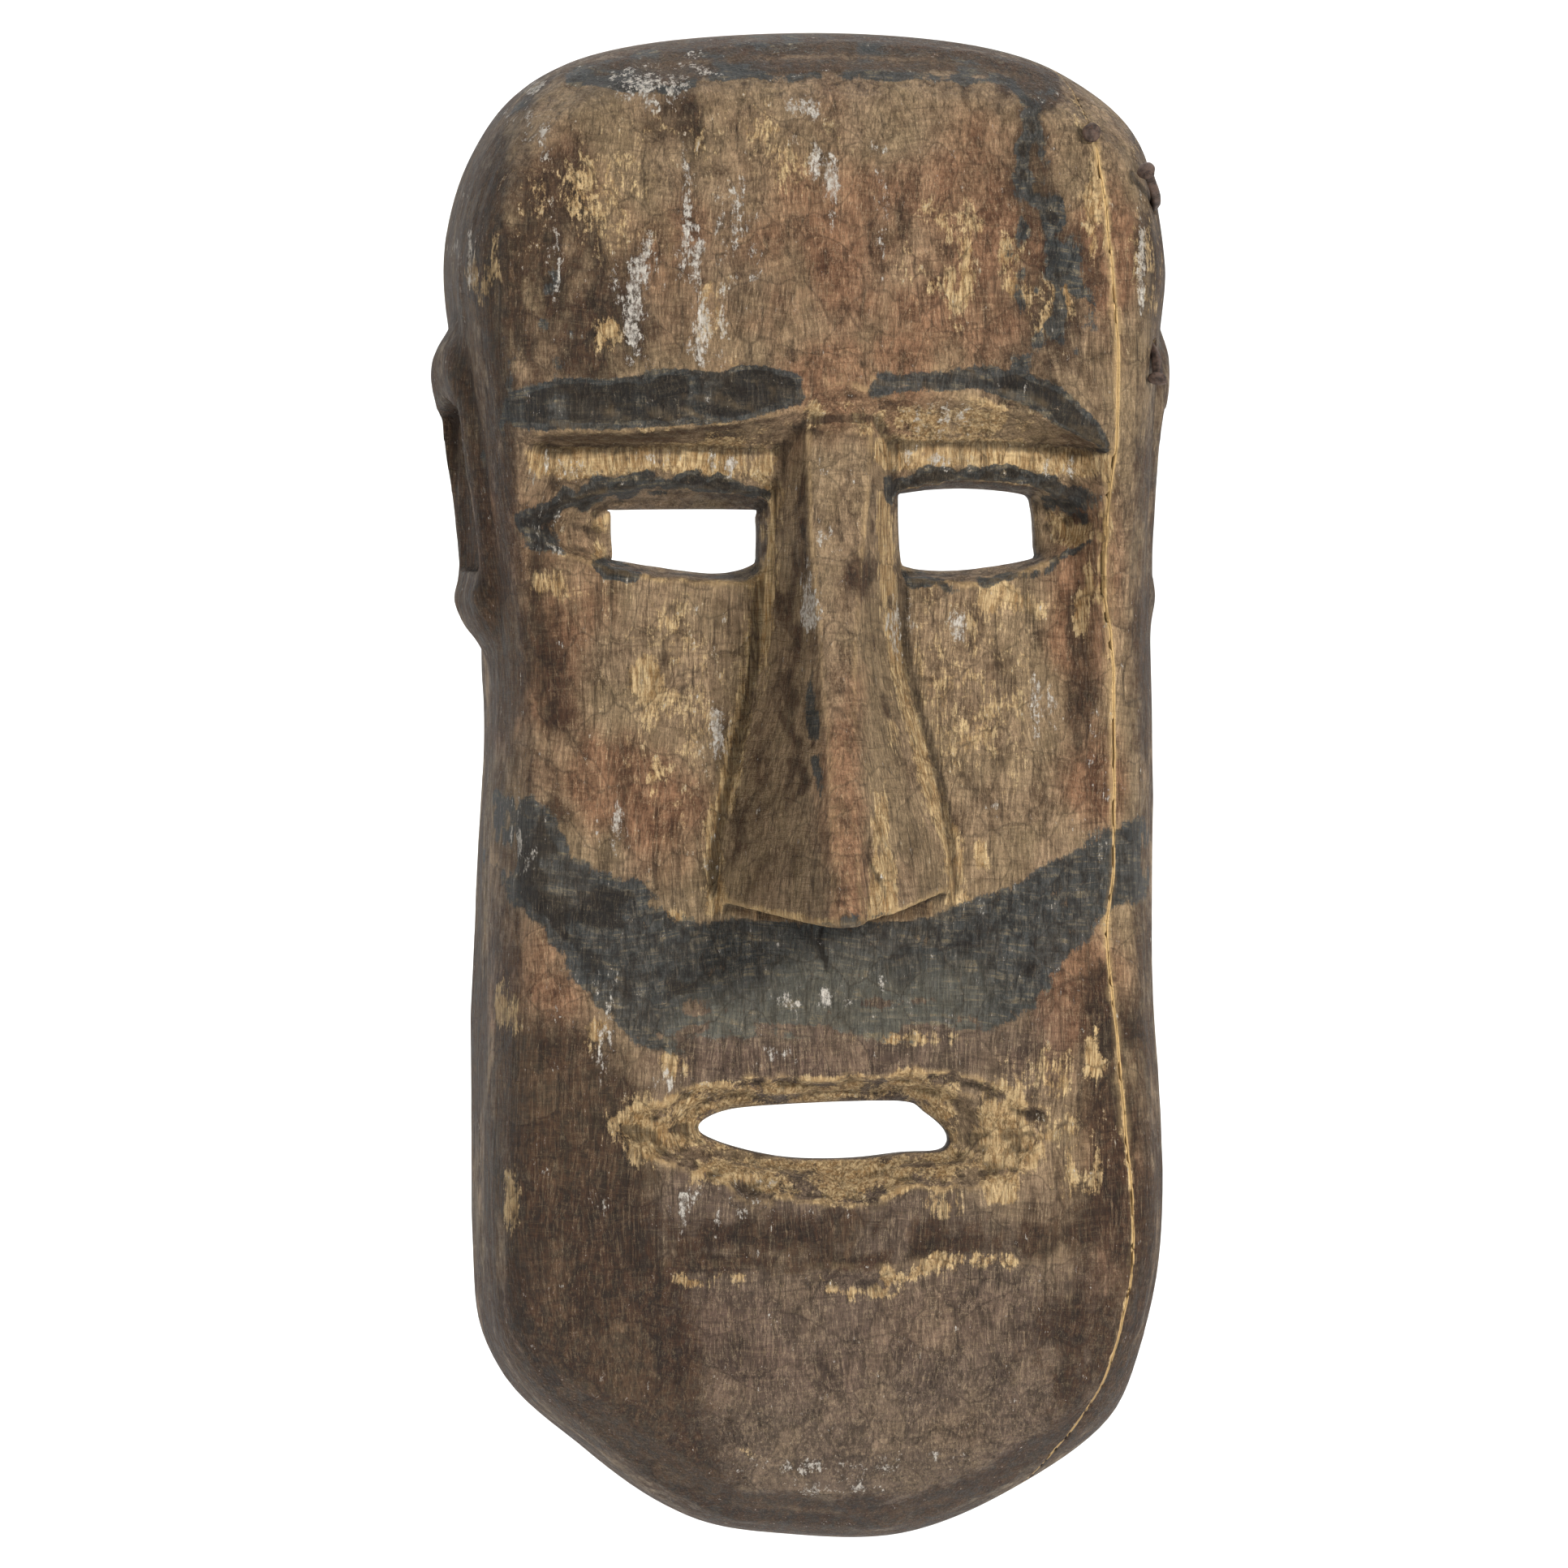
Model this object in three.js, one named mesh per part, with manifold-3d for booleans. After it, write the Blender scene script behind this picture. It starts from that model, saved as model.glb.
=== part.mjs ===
// A carved wooden face mask: a hollowed block, the side stave that has split off it along the
// grain from crown to chin, and the three iron nails driven in beside the split.
// Millimetres. +Z runs up the face, -Y out of the face and +X to the viewer's right.
// The back rim lies in the plane y = 0, and "depth" is measured forward from that plane.
import * as THREE from "three";
import { ConvexGeometry } from "three/addons/geometries/ConvexGeometry.js";
import { LoftGeometry } from "three/addons/geometries/LoftGeometry.js";
import { mergeVertices } from "three/addons/utils/BufferGeometryUtils.js";
import Module from "manifold-3d";

// ---- Driving dimensions ----
const HALF_WIDTH = 78; // half of the width across the temples
const HALF_HEIGHT = 168.5; // half of crown to chin
const BROW_DEPTH = 72; // brow in front of the back rim
const NOSE_DEPTH = 98; // tip of the nose in front of the back rim
const SIDE_WALL = 12; // thickness of the hollowed side walls
const END_WALL = 17; // thickness at the crown and the chin
const FACE_WALL = 13; // thickness of the face behind the cheeks
const FACE_CROWN = 5; // how far the face falls back towards its sides
const SOCKET_DROP = 11; // how far the eye sockets lie behind the brow
const LENS_DROP = 9; // how far an opening's lens is carved into the face
const LENS_FLARE = 6; // how far the lens's cut runs on past the surface
const LENS_ROUNDNESS = 1.7; // between a pointed lens (1.4) and an ellipse (2)
const SPLIT_GAP = 0.6; // between the shell and the stave
const SPLIT_LEAN = 0.25; // how much the split leans inwards towards the back
const NAIL_RADIUS = 1.05;
const NAIL_HEAD_RADIUS = 2.1;
const NAIL_GAP = 0.35; // round each nail in its hole

// ---- Named places, in x and z ----
const EYE = { x: 31, z: 54.5, halfWidth: 16, halfHeight: 6.8, roundness: 3.6 };
const EYE_LENS = { x: 40, z: 55.5, halfWidth: 27, halfHeight: 10.5, depth: 60 };
const MOUTH = { x: -1, z: -76.8, halfWidth: 27.5, halfHeight: 6.5, roundness: 2.4 };
const MOUTH_LENS = { x: 3, z: -77, halfWidth: 50, halfHeight: 13, depth: 66 };
const EAR = { z: 64, depth: 21, halfHeight: 38, halfDepth: 17, topLean: 0.07, frontLean: 0.12 };
const EAR_RECESS = { z: 61, depth: 22, floor: 71.5, halfHeight: 27, halfDepth: 10 };
const EAR_REACHES = { left: 82.4, right: 78.7 }; // how far each ear's rim stands from the middle
const BROW_EDGE = 78; // z of the brow's lower edge
const SOCKET_TOP = 73; // z of the foot of the undercut below the brow
const NOSE_FOOT = -28; // z of the underside of the nose
const SOCKET_SIDE = 57; // x where a socket starts to run out
const TEMPLE = 68; // x where it has run out
const CHEEK_TOP = 60; // z below which the sockets run out into the cheeks
const CHEEK_LOW = -20; // z where they have run out

// The outline of the back rim, as x and z, counterclockwise as the viewer sees it.
const OUTLINE_POINTS = [
  [78, 118], [73, 143], [57.5, 158], [36, 165.7], [0, 168.3], [-40, 165.2], [-63, 156.7],
  [-76, 139.5], [-81, 118], [-79.5, 96], [-75.5, 66], [-72, 20], [-74, -25], [-75.3, -100],
  [-70.6, -129], [-50, -149.5], [-28.4, -164], [-6, -168.4], [20.5, -168.4], [45, -158.4],
  [66.5, -142], [75, -118.5], [78, -90], [76, -40], [75.5, 20], [74.5, 66], [76.5, 96],
];

// The middle of the face in profile, as z and depth, without the nose and the eye sockets.
const PROFILE_POINTS = [
  [-172, 43], [-156, 52], [-135, 61], [-110, 66], [-60, 66], [-28, 64], [20, 64], [50, 67],
  [84, BROW_DEPTH], [110, 70], [140, 64], [172, 54],
];

// The split on the front of the face, as z and x.
const SPLIT_POINTS = [
  [-180, 46], [-150, 58], [-126, 65], [-96, 67.5], [-29, 63.4], [12, 64.8], [62, 61.6], [102, 62.5],
  [142, 59], [180, 56],
];
const SPLIT_DEPTH = 60; // where the split's points are measured

// The corners of the nose, as z, depth and half width, from the bridge to the tip and the wings.
const NOSE_X = 0.6;
const NOSE_CORNERS = [
  [82, 71, 7.7], [80, 60, 10.3], [50, 52, 12.5], [20, 83, 6.3], [NOSE_FOOT - 1, NOSE_DEPTH, 3.7],
  [NOSE_FOOT + 2, 82, 15.5], [NOSE_FOOT + 1, 66, 25], [NOSE_FOOT, 55, 26],
];

// The nails' routes from their tips in the wood to their heads.
const SPLIT_NAIL = { x: 59.5, z: 144.5, lengths: [24, 10, 0] };
const UPPER_NAIL_ROUTE = [
  [56, 44, 130.5], [66, 44, 130.5], [74.5, 45, 130.6], [77, 50, 131.5], [74.5, 59, 134.5],
  [71.5, 64, 136.3],
];
const LOWER_NAIL_ROUTE = [[63, 38, 98.5], [69, 47, 98], [73.6, 56, 97], [75.2, 60, 95], [73.8, 62.5, 89.5]];

const wasm = await Module();
wasm.setup();

// ---- Helpers ----
const at = (x, depth, z) => new THREE.Vector3(x, -depth, z);
const smoothstep = THREE.MathUtils.smoothstep;

// A smooth function through points whose first number rises.
function smoothCurve(points) {
  const curve = new THREE.CatmullRomCurve3(points.map(([a, b]) => new THREE.Vector3(a, b, 0)));
  const samples = curve.getPoints(points.length * 8);
  return (a) => {
    const next = samples.findIndex((sample) => sample.x > a);
    const [low, high] = [samples[Math.max(next, 1) - 1], samples[Math.max(next, 1)]];
    return THREE.MathUtils.mapLinear(a, low.x, high.x, low.y, high.y);
  };
}

function toSolid(geometry) {
  const bare = new THREE.BufferGeometry();
  bare.setAttribute("position", geometry.attributes.position);
  bare.setIndex(geometry.index);
  const merged = mergeVertices(bare, 1e-4);
  const mesh = new wasm.Mesh({
    numProp: 3,
    vertProperties: new Float32Array(merged.attributes.position.array),
    triVerts: new Uint32Array(merged.index.array),
  });
  return new wasm.Manifold(mesh);
}

function toGeometry(solid) {
  const mesh = solid.getMesh();
  const geometry = new THREE.BufferGeometry();
  geometry.setAttribute("position", new THREE.BufferAttribute(mesh.vertProperties, mesh.numProp));
  geometry.setIndex(new THREE.BufferAttribute(mesh.triVerts, 1));
  return geometry;
}

const loft = (rings) => toSolid(new LoftGeometry(rings, { capStart: true, capEnd: true }));

// Grid lines through every stop, with no wider step than the one given.
function gridLines(stops, widest) {
  const lines = [stops[0]];
  for (let i = 1; i < stops.length; i++) {
    const steps = Math.ceil((stops[i] - stops[i - 1]) / widest);
    for (let k = 1; k <= steps; k++) {
      lines.push(THREE.MathUtils.lerp(stops[i - 1], stops[i], k / steps));
    }
  }
  return lines;
}

// A block on a grid of x and z lines, whose two large faces follow a front and a back surface.
function gridBlock(xLines, zLines, front, back) {
  const geometry = new THREE.BoxGeometry(1, 1, 1, xLines.length - 1, 1, zLines.length - 1);
  const position = geometry.attributes.position;
  for (let i = 0; i < position.count; i++) {
    const x = xLines[Math.round((position.getX(i) + 0.5) * (xLines.length - 1))];
    const z = zLines[Math.round((position.getZ(i) + 0.5) * (zLines.length - 1))];
    const surface = position.getY(i) < 0 ? front : back;
    position.setXYZ(i, x, -surface(x, z), z);
  }
  return toSolid(geometry);
}

// A ring between a pointed lens (roundness near 1.4), an ellipse (2) and a rounded box (4).
function superellipse({ x, z, halfWidth, halfHeight }, roundness, depth, count = 28) {
  return Array.from({ length: count }, (_, i) => {
    const angle = (i / count) * 2 * Math.PI;
    const reach = (value) => Math.sign(value) * Math.abs(value) ** (2 / roundness);
    return at(x + halfWidth * reach(Math.cos(angle)), depth, z + halfHeight * reach(Math.sin(angle)));
  });
}

// ---- The form of the face ----
const rimCurve = new THREE.CatmullRomCurve3(OUTLINE_POINTS.map(([x, z]) => at(x, 0, z)), true);
const profile = smoothCurve(PROFILE_POINTS);
const splitLine = smoothCurve(SPLIT_POINTS);

// One ring round the head: the rim's outline drawn in by an inset at the sides and one at the ends.
function headRing(count, sideInset, endInset, depthAt) {
  return rimCurve.getSpacedPoints(count).slice(0, count).map((point) => {
    const x = point.x * (1 - sideInset / HALF_WIDTH);
    const z = point.z * (1 - endInset / HALF_HEIGHT);
    return at(x, depthAt(z), z);
  });
}

// The depth of the face in front of the rim: brow, eye sockets and cheeks, without the nose.
function faceDepth(x, z) {
  const plain = profile(z) - FACE_CROWN * (x / HALF_WIDTH) ** 2;
  const acrossSockets = 1 - smoothstep(Math.abs(x), SOCKET_SIDE, TEMPLE);
  const belowBrow = 1 - smoothstep(z, SOCKET_TOP, BROW_EDGE);
  const aboveCheek = smoothstep(z, CHEEK_LOW, CHEEK_TOP);
  return plain - SOCKET_DROP * acrossSockets * belowBrow * aboveCheek;
}

function blank() {
  const edgeDepth = (z) => profile(z) - FACE_CROWN;
  const layers = [ // side inset, end inset, share of the depth
    [0, 0, 0], [0, 0.5, 0.38], [1, 2, 0.62], [2.6, 5.5, 0.8], [5, 11, 0.93], [9, 19, 1.03],
    [20, 40, 1.15], [70, 150, 1.35],
  ];
  return loft(layers.map(([side, end, share]) => headRing(72, side, end, (z) => share * edgeDepth(z))));
}

function relief() {
  const xLines = gridLines([-90, -TEMPLE, -SOCKET_SIDE, -14, 14, SOCKET_SIDE, TEMPLE, 90], 9);
  const zLines = gridLines([-175, -110, -60, NOSE_FOOT, 44, 66, SOCKET_TOP, BROW_EDGE, 84, 175], 10);
  return gridBlock(xLines, zLines, faceDepth, () => -20);
}

// The nose is a wedge: a ridge that widens into the wings, with a flat underside.
function nose() {
  return toSolid(new ConvexGeometry(NOSE_CORNERS.flatMap(([z, depth, halfWidth]) => [
    at(NOSE_X - halfWidth, depth, z), at(NOSE_X + halfWidth, depth, z),
  ])));
}

// The hollow behind the face, open at the back.
function hollow() {
  const reachAt = (z) => profile(z) - FACE_CROWN - FACE_WALL - 9 * smoothstep(z, -30, 40);
  const layers = [ // inset beyond the side and end walls, share of the depth
    [0, 0, -0.2], [0, 0, 0.45], [2, 3, 0.72], [6, 9, 0.9], [14, 22, 0.97], [33, 65, 1], [57, 130, 1.12],
  ];
  return loft(layers.map(([side, end, share]) => (
    headRing(52, SIDE_WALL + side, END_WALL + end, (z) => share * reachAt(z))
  )));
}

// A lens carved into the face that narrows to a hole through it.
function carvedOpening(hole, lens) {
  const flare = {
    ...lens,
    halfWidth: lens.halfWidth + LENS_FLARE,
    halfHeight: lens.halfHeight + LENS_FLARE,
  };
  return loft([
    superellipse(hole, hole.roundness, 20), // inside the hollow
    superellipse(hole, hole.roundness, lens.depth - LENS_DROP),
    superellipse(lens, LENS_ROUNDNESS, lens.depth),
    superellipse(flare, LENS_ROUNDNESS, lens.depth + LENS_FLARE),
  ]);
}

// An ear on the side wall: an oval pad that stands further out at its top and at its back.
function ear(side, reach) {
  const ring = (distance, shrink) => Array.from({ length: 28 }, (_, i) => {
    const angle = -side * (i / 28) * 2 * Math.PI;
    const up = (EAR.halfHeight - shrink) * Math.sin(angle);
    const forward = (EAR.halfDepth - shrink) * Math.cos(angle);
    const out = distance + EAR.topLean * up - EAR.frontLean * forward;
    return at(side * out, EAR.depth + forward, EAR.z + up);
  });
  return loft([ring(66, 0), ring(reach - 4, 0), ring(reach - 1.5, 2), ring(reach, 6)]);
}

// The scoop in an ear, which narrows towards its floor.
function earRecess(side) {
  const ring = (distance, share) => Array.from({ length: 20 }, (_, i) => {
    const angle = -side * (i / 20) * 2 * Math.PI;
    const forward = share * EAR_RECESS.halfDepth * Math.cos(angle);
    const up = share * EAR_RECESS.halfHeight * Math.sin(angle);
    return at(side * distance, EAR_RECESS.depth + forward, EAR_RECESS.z + up);
  });
  return loft([ring(EAR_RECESS.floor, 0.6), ring(EAR_RECESS.floor + 4.5, 0.9), ring(90, 1)]);
}

// Everything on the stave's side of the split, with the split's face moved sideways by an offset.
function staveSide(offset) {
  const zLines = gridLines([-178, 178], 9);
  const geometry = new THREE.BoxGeometry(1, 1, 1, 1, 1, zLines.length - 1);
  const position = geometry.attributes.position;
  for (let i = 0; i < position.count; i++) {
    const z = zLines[Math.round((position.getZ(i) + 0.5) * (zLines.length - 1))];
    const depth = position.getY(i) < 0 ? 110 : -10;
    const onSplit = splitLine(z) + offset - SPLIT_LEAN * (SPLIT_DEPTH - depth);
    position.setXYZ(i, position.getX(i) < 0 ? onSplit : 120, -depth, z);
  }
  return toSolid(geometry);
}

// ---- Nails ----
const circle = (radius, count) => new THREE.Shape(new THREE.EllipseCurve(0, 0, radius, radius).getPoints(count));

function shank(route, radius) {
  const path = new THREE.CatmullRomCurve3(route);
  const options = { steps: 4 * route.length, bevelEnabled: false, extrudePath: path };
  return toSolid(new THREE.ExtrudeGeometry(circle(radius, 10), options));
}

// A hand-forged nail along a route that ends in its flattened head, or the room that it takes
// up in the wood when it is swollen by a gap.
function nailSolid(route, gap = 0) {
  const radius = NAIL_HEAD_RADIUS;
  const profilePoints = [
    [0, -1.2 - gap], [radius * 0.75 + gap, -0.7 - gap], [radius + gap, 0], [radius * 0.9 + gap, 0.6 + gap],
    [radius * 0.5, 1.05 + gap], [0, 1.15 + gap],
  ].map(([outward, along]) => new THREE.Vector2(outward, along));
  const head = new THREE.LatheGeometry(profilePoints, 14);
  const end = route.at(-1);
  const along = end.clone().sub(route.at(-2)).normalize();
  head.applyQuaternion(new THREE.Quaternion().setFromUnitVectors(new THREE.Vector3(0, 1, 0), along));
  head.translate(end.x, end.y, end.z);
  return shank(route, NAIL_RADIUS + gap).add(toSolid(head));
}

// ---- Assembly ----
function carveHead() {
  let head = blank().intersect(relief()).add(nose());
  for (const [side, reach] of [[-1, EAR_REACHES.left], [1, EAR_REACHES.right]]) {
    head = head.add(ear(side, reach)).subtract(earRecess(side));
    const mirrored = (place) => ({ ...place, x: side * place.x });
    head = head.subtract(carvedOpening(mirrored(EYE), mirrored(EYE_LENS)));
  }
  return head.subtract(carvedOpening(MOUTH, MOUTH_LENS)).subtract(hollow());
}

const head = carveHead();
const headMesh = new THREE.Mesh(toGeometry(head));

// How far forward the wood reaches under a round head at a place on the face.
function seatDepth(x, z) {
  const depths = Array.from({ length: 8 }, (_, i) => {
    const angle = (i / 8) * 2 * Math.PI;
    const start = at(x + NAIL_HEAD_RADIUS * Math.cos(angle), 200, z + NAIL_HEAD_RADIUS * Math.sin(angle));
    const ray = new THREE.Raycaster(start, new THREE.Vector3(0, 1, 0));
    return -ray.intersectObject(headMesh)[0].point.y;
  });
  return Math.max(...depths);
}

const splitNailDepth = seatDepth(SPLIT_NAIL.x, SPLIT_NAIL.z) + 1;
const nailRoutes = {
  split_nail: SPLIT_NAIL.lengths.map((driven) => at(SPLIT_NAIL.x, splitNailDepth - driven, SPLIT_NAIL.z)),
  upper_side_nail: UPPER_NAIL_ROUTE.map((place) => at(...place)),
  lower_side_nail: LOWER_NAIL_ROUTE.map((place) => at(...place)),
};

let shell = head.subtract(staveSide(-SPLIT_GAP / 2));
let stave = head.intersect(staveSide(SPLIT_GAP / 2));
for (const route of Object.values(nailRoutes)) {
  shell = shell.subtract(nailSolid(route, NAIL_GAP));
  stave = stave.subtract(nailSolid(route, NAIL_GAP));
}

const wood = new THREE.MeshStandardMaterial({ color: "#6a4c35", roughness: 0.85, metalness: 0 });
const splitWood = new THREE.MeshStandardMaterial({ color: "#755338", roughness: 0.85, metalness: 0 });
const iron = new THREE.MeshStandardMaterial({ color: "#4a3730", roughness: 0.8, metalness: 0.55 });

function piece(name, solid, material) {
  const mesh = new THREE.Mesh(toGeometry(solid), material);
  mesh.name = name;
  return mesh;
}

const mask = new THREE.Group();
mask.add(piece("mask_shell", shell, wood));
mask.add(piece("side_stave", stave, splitWood));
for (const [name, route] of Object.entries(nailRoutes)) {
  mask.add(piece(name, nailSolid(route), iron.clone()));
}

export default mask;
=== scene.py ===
import math

import bpy
import numpy as np
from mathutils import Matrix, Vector


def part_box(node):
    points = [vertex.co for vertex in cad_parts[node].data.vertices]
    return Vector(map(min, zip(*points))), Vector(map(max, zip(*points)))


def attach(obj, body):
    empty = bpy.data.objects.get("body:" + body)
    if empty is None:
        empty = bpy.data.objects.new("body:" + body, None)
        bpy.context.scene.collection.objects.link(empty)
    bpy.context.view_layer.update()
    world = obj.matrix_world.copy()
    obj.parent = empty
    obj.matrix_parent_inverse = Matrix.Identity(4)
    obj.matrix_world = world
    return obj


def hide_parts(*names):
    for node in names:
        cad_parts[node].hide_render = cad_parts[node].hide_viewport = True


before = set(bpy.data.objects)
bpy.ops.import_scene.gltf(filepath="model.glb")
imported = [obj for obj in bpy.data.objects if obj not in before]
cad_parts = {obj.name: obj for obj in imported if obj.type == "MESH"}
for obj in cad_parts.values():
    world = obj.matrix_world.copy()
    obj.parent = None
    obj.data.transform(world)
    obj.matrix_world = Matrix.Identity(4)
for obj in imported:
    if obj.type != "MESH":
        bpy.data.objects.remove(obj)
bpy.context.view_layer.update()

# The carved form below is written in millimetres: x to the viewer's right, z up the face and
# "depth" forward from the plane of the back rim, which is the frame's y = 0.
MM = 0.001
SHELL_LOW, SHELL_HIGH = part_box("mask_shell")
HALF_HEIGHT = (SHELL_HIGH[2] - SHELL_LOW[2]) / 2 / MM
HALF_WIDTH = 78.0
NOSE_DEPTH = (SHELL_HIGH[1] - SHELL_LOW[1]) / MM
SIDE_WALL = 12.0
END_WALL = 17.0
FACE_WALL = 13.0
FACE_CROWN = 5.0
SOCKET_DROP = 9.0
SPLIT_LEAN = 0.25
SPLIT_DEPTH = 60.0
SPLIT_GAP = 0.12
STEP = 0.9
SHARP_ANGLE = math.radians(62)


# ---- Curves, noise and smooth joins, on numpy arrays ----
def clamp(value):
    return np.clip(value, 0.0, 1.0)


def ramp(value, low, high):
    """A smooth step from 0 at low to 1 at high."""
    t = clamp((value - low) / (high - low))
    return t * t * (3 - 2 * t)


def joined(a, b, width):
    """The smaller of two fields, with the crease between them rounded."""
    return np.minimum(a, b) - np.maximum(width - np.abs(a - b), 0) ** 2 / (4 * width)


def merged(a, b, width):
    """The larger of two fields, with the crease between them filled."""
    return -joined(-a, -b, width)


def curve(points):
    """A smooth function through points whose first number rises."""
    xs, ys = np.array(points, dtype=float).T
    slopes = np.gradient(ys, xs)

    def at(value):
        i = np.clip(np.searchsorted(xs, value) - 1, 0, len(xs) - 2)
        span = xs[i + 1] - xs[i]
        t = clamp((value - xs[i]) / span)
        return (
            ys[i] * (1 + 2 * t) * (1 - t) ** 2 + slopes[i] * span * t * (1 - t) ** 2
            + ys[i + 1] * t * t * (3 - 2 * t) - slopes[i + 1] * span * t * t * (1 - t)
        )

    return at


def rounded(points, pieces=8):
    """A closed smooth outline through a few points."""
    p = np.array(points, dtype=float)
    a, b, c, e = np.roll(p, 1, 0), p, np.roll(p, -1, 0), np.roll(p, -2, 0)
    out = []
    for t in np.arange(pieces) / pieces:
        out.append(0.5 * (2 * b + (c - a) * t + (2 * a - 5 * b + 4 * c - e) * t**2
                          + (3 * b - a - 3 * c + e) * t**3))
    return np.stack(out, 1).reshape(-1, 2)


def line_distance(place, points):
    """The squared distance from places, given as one array per axis, to a line through points."""
    nearest = np.inf
    for start, end in zip(points[:-1], points[1:]):
        run = np.subtract(end, start)
        t = clamp(sum((p - s) * r for p, s, r in zip(place, start, run)) / (run @ run))
        nearest = np.minimum(nearest, sum((p - s - t * r) ** 2 for p, s, r in zip(place, start, run)))
    return nearest


def inside_distance(x, z, outline):
    """The distance to a closed outline, positive inside it."""
    crossings = np.zeros(x.shape, dtype=bool)
    for (ax, az), (bx, bz) in zip(outline, np.roll(outline, -1, 0)):
        if az != bz:
            crossings ^= ((az > z) != (bz > z)) & (x < (bx - ax) * (z - az) / (bz - az) + ax)
    distance = np.sqrt(line_distance((x, z), [*outline, outline[0]]))
    return np.where(crossings, 1, -1) * distance


LATTICE = np.random.default_rng(7).random((4, 128, 128))


def noise(u, v, layer=0):
    """Smooth noise from 0 to 1, one feature to a unit."""
    iu, iv = np.floor(u).astype(int), np.floor(v).astype(int)
    fu, fv = u - iu, v - iv
    fu, fv = fu * fu * (3 - 2 * fu), fv * fv * (3 - 2 * fv)
    table = LATTICE[layer]
    corner = [[table[(iu + a) & 127, (iv + b) & 127] for b in (0, 1)] for a in (0, 1)]
    low = corner[0][0] * (1 - fv) + corner[0][1] * fv
    high = corner[1][0] * (1 - fv) + corner[1][1] * fv
    return low * (1 - fu) + high * fu


def rough(u, v, layer=0, octaves=4):
    """Fractal noise from about -1 to 1."""
    scales = [2**k for k in range(octaves)]
    return sum((2 * noise(u * s + 17 * k, v * s + 5 * k, layer) - 1) / s for k, s in enumerate(scales)) / 1.5


def scallops(u, v, layer=0):
    """Overlapping shallow cuts, one to a unit: 0 in the middle of a cut and 1 on the ridges."""
    iu, iv = np.floor(u).astype(int), np.floor(v).astype(int)
    nearest = np.full(np.broadcast(u, v).shape, 9.0)
    for a in (-1, 0, 1):
        for b in (-1, 0, 1):
            cu = iu + a + LATTICE[layer][(iu + a) & 127, (iv + b) & 127]
            cv = iv + b + LATTICE[(layer + 1) % 4][(iu + a) & 127, (iv + b) & 127]
            nearest = np.minimum(nearest, (u - cu) ** 2 + (v - cv) ** 2)
    return np.minimum(nearest, 1.0)


# ---- The carved form ----
OUTLINE = rounded([
    (78, 118), (73, 143), (57.5, 158), (36, 165.7), (0, 168.3), (-40, 165.2), (-63, 156.7), (-76, 139.5),
    (-81, 118), (-79.5, 96), (-75.5, 66), (-72, 20), (-74, -25), (-75.3, -100), (-70.6, -129),
    (-50, -149.5), (-28.4, -164), (-6, -168.4), (20.5, -168.4), (45, -158.4), (66.5, -142),
    (75, -118.5), (78, -90), (76, -40), (75.5, 20), (74.5, 66), (76.5, 96),
])
PROFILE = curve([
    (-172, 43), (-156, 52), (-135, 61), (-110, 66), (-60, 66), (-28, 64), (20, 64), (50, 67),
    (84, 72), (110, 70), (140, 64), (172, 54),
])
SPLIT = curve([
    (-180, 44), (-150, 54), (-141, 58), (-130, 62.3), (-115, 65), (-105, 66), (-95, 66), (-75, 64.5),
    (-50, 62.5), (-30, 61.5), (-20, 62.5), (0, 63), (28, 62.3), (40, 61), (50, 60.5), (60, 60.2), (75, 61),
    (90, 61), (110, 60.5), (138, 58.8), (160, 57.5), (180, 56),
])
# Lower edge of the brows and the crease at the foot of the cut below them, along x.
BROW_EDGE = curve([
    (-70, 76), (-56, 76), (-36, 77), (-22, 78.6), (-11, 80.6), (0, 82.5), (10, 83.5), (28, 83.7),
    (36, 82.2), (45, 80.3), (53, 77), (60, 73.5),
])
CREASE = curve([(-70, 73.4), (-40, 73.6), (-10, 73.2), (12, 74.2), (40, 74.4), (60, 73.3)])
EYE_HOLES = [
    rounded([(-46.4, 59.2), (-45.2, 60), (-17, 60.2), (-15.1, 59), (-14.9, 51.2), (-16, 48.3),
             (-25, 46.6), (-44.8, 49.4), (-46, 50.6)], 4),
    rounded([(15.9, 62.3), (17.2, 63.9), (30, 65), (43.4, 63.9), (46, 61.8), (46.8, 52.5), (45.8, 49.9),
             (30, 47.4), (18.6, 47.9), (16.6, 49.6)], 4),
]
EYE_LENSES = [
    rounded([(-65.5, 57), (-58, 61.8), (-49, 64), (-33, 65), (-14.5, 63), (-13.2, 55), (-14.5, 46.5),
             (-21, 44.5), (-30, 44.6), (-44, 46.8), (-56, 50), (-63, 53.5)], 4),
    rounded([(13.6, 61), (18, 64.6), (30, 66.2), (47, 65), (56, 61), (59.5, 57), (54.5, 52.5),
             (47, 48.6), (37, 45.3), (26, 44.5), (16, 45.6), (13.4, 50)], 4),
]
MOUTH_HOLE = rounded([
    (-28.2, -75.3), (-23.5, -72), (-13, -70.5), (15.6, -69.6), (22, -72.2), (26.9, -76.8), (25.8, -80.3),
    (17, -80.9), (6, -82.1), (-6, -82.1), (-15, -80.8), (-24, -78.2),
], 4)
MOUTH_LENS = rounded([
    (-46, -75.4), (-38.7, -70), (-27, -65.4), (5, -63.5), (21, -63.2), (32, -64.4), (45, -70.5),
    (49, -77), (37, -86.5), (22, -88.3), (-3.7, -91), (-23, -87.4), (-35, -82.6),
], 4)
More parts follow.
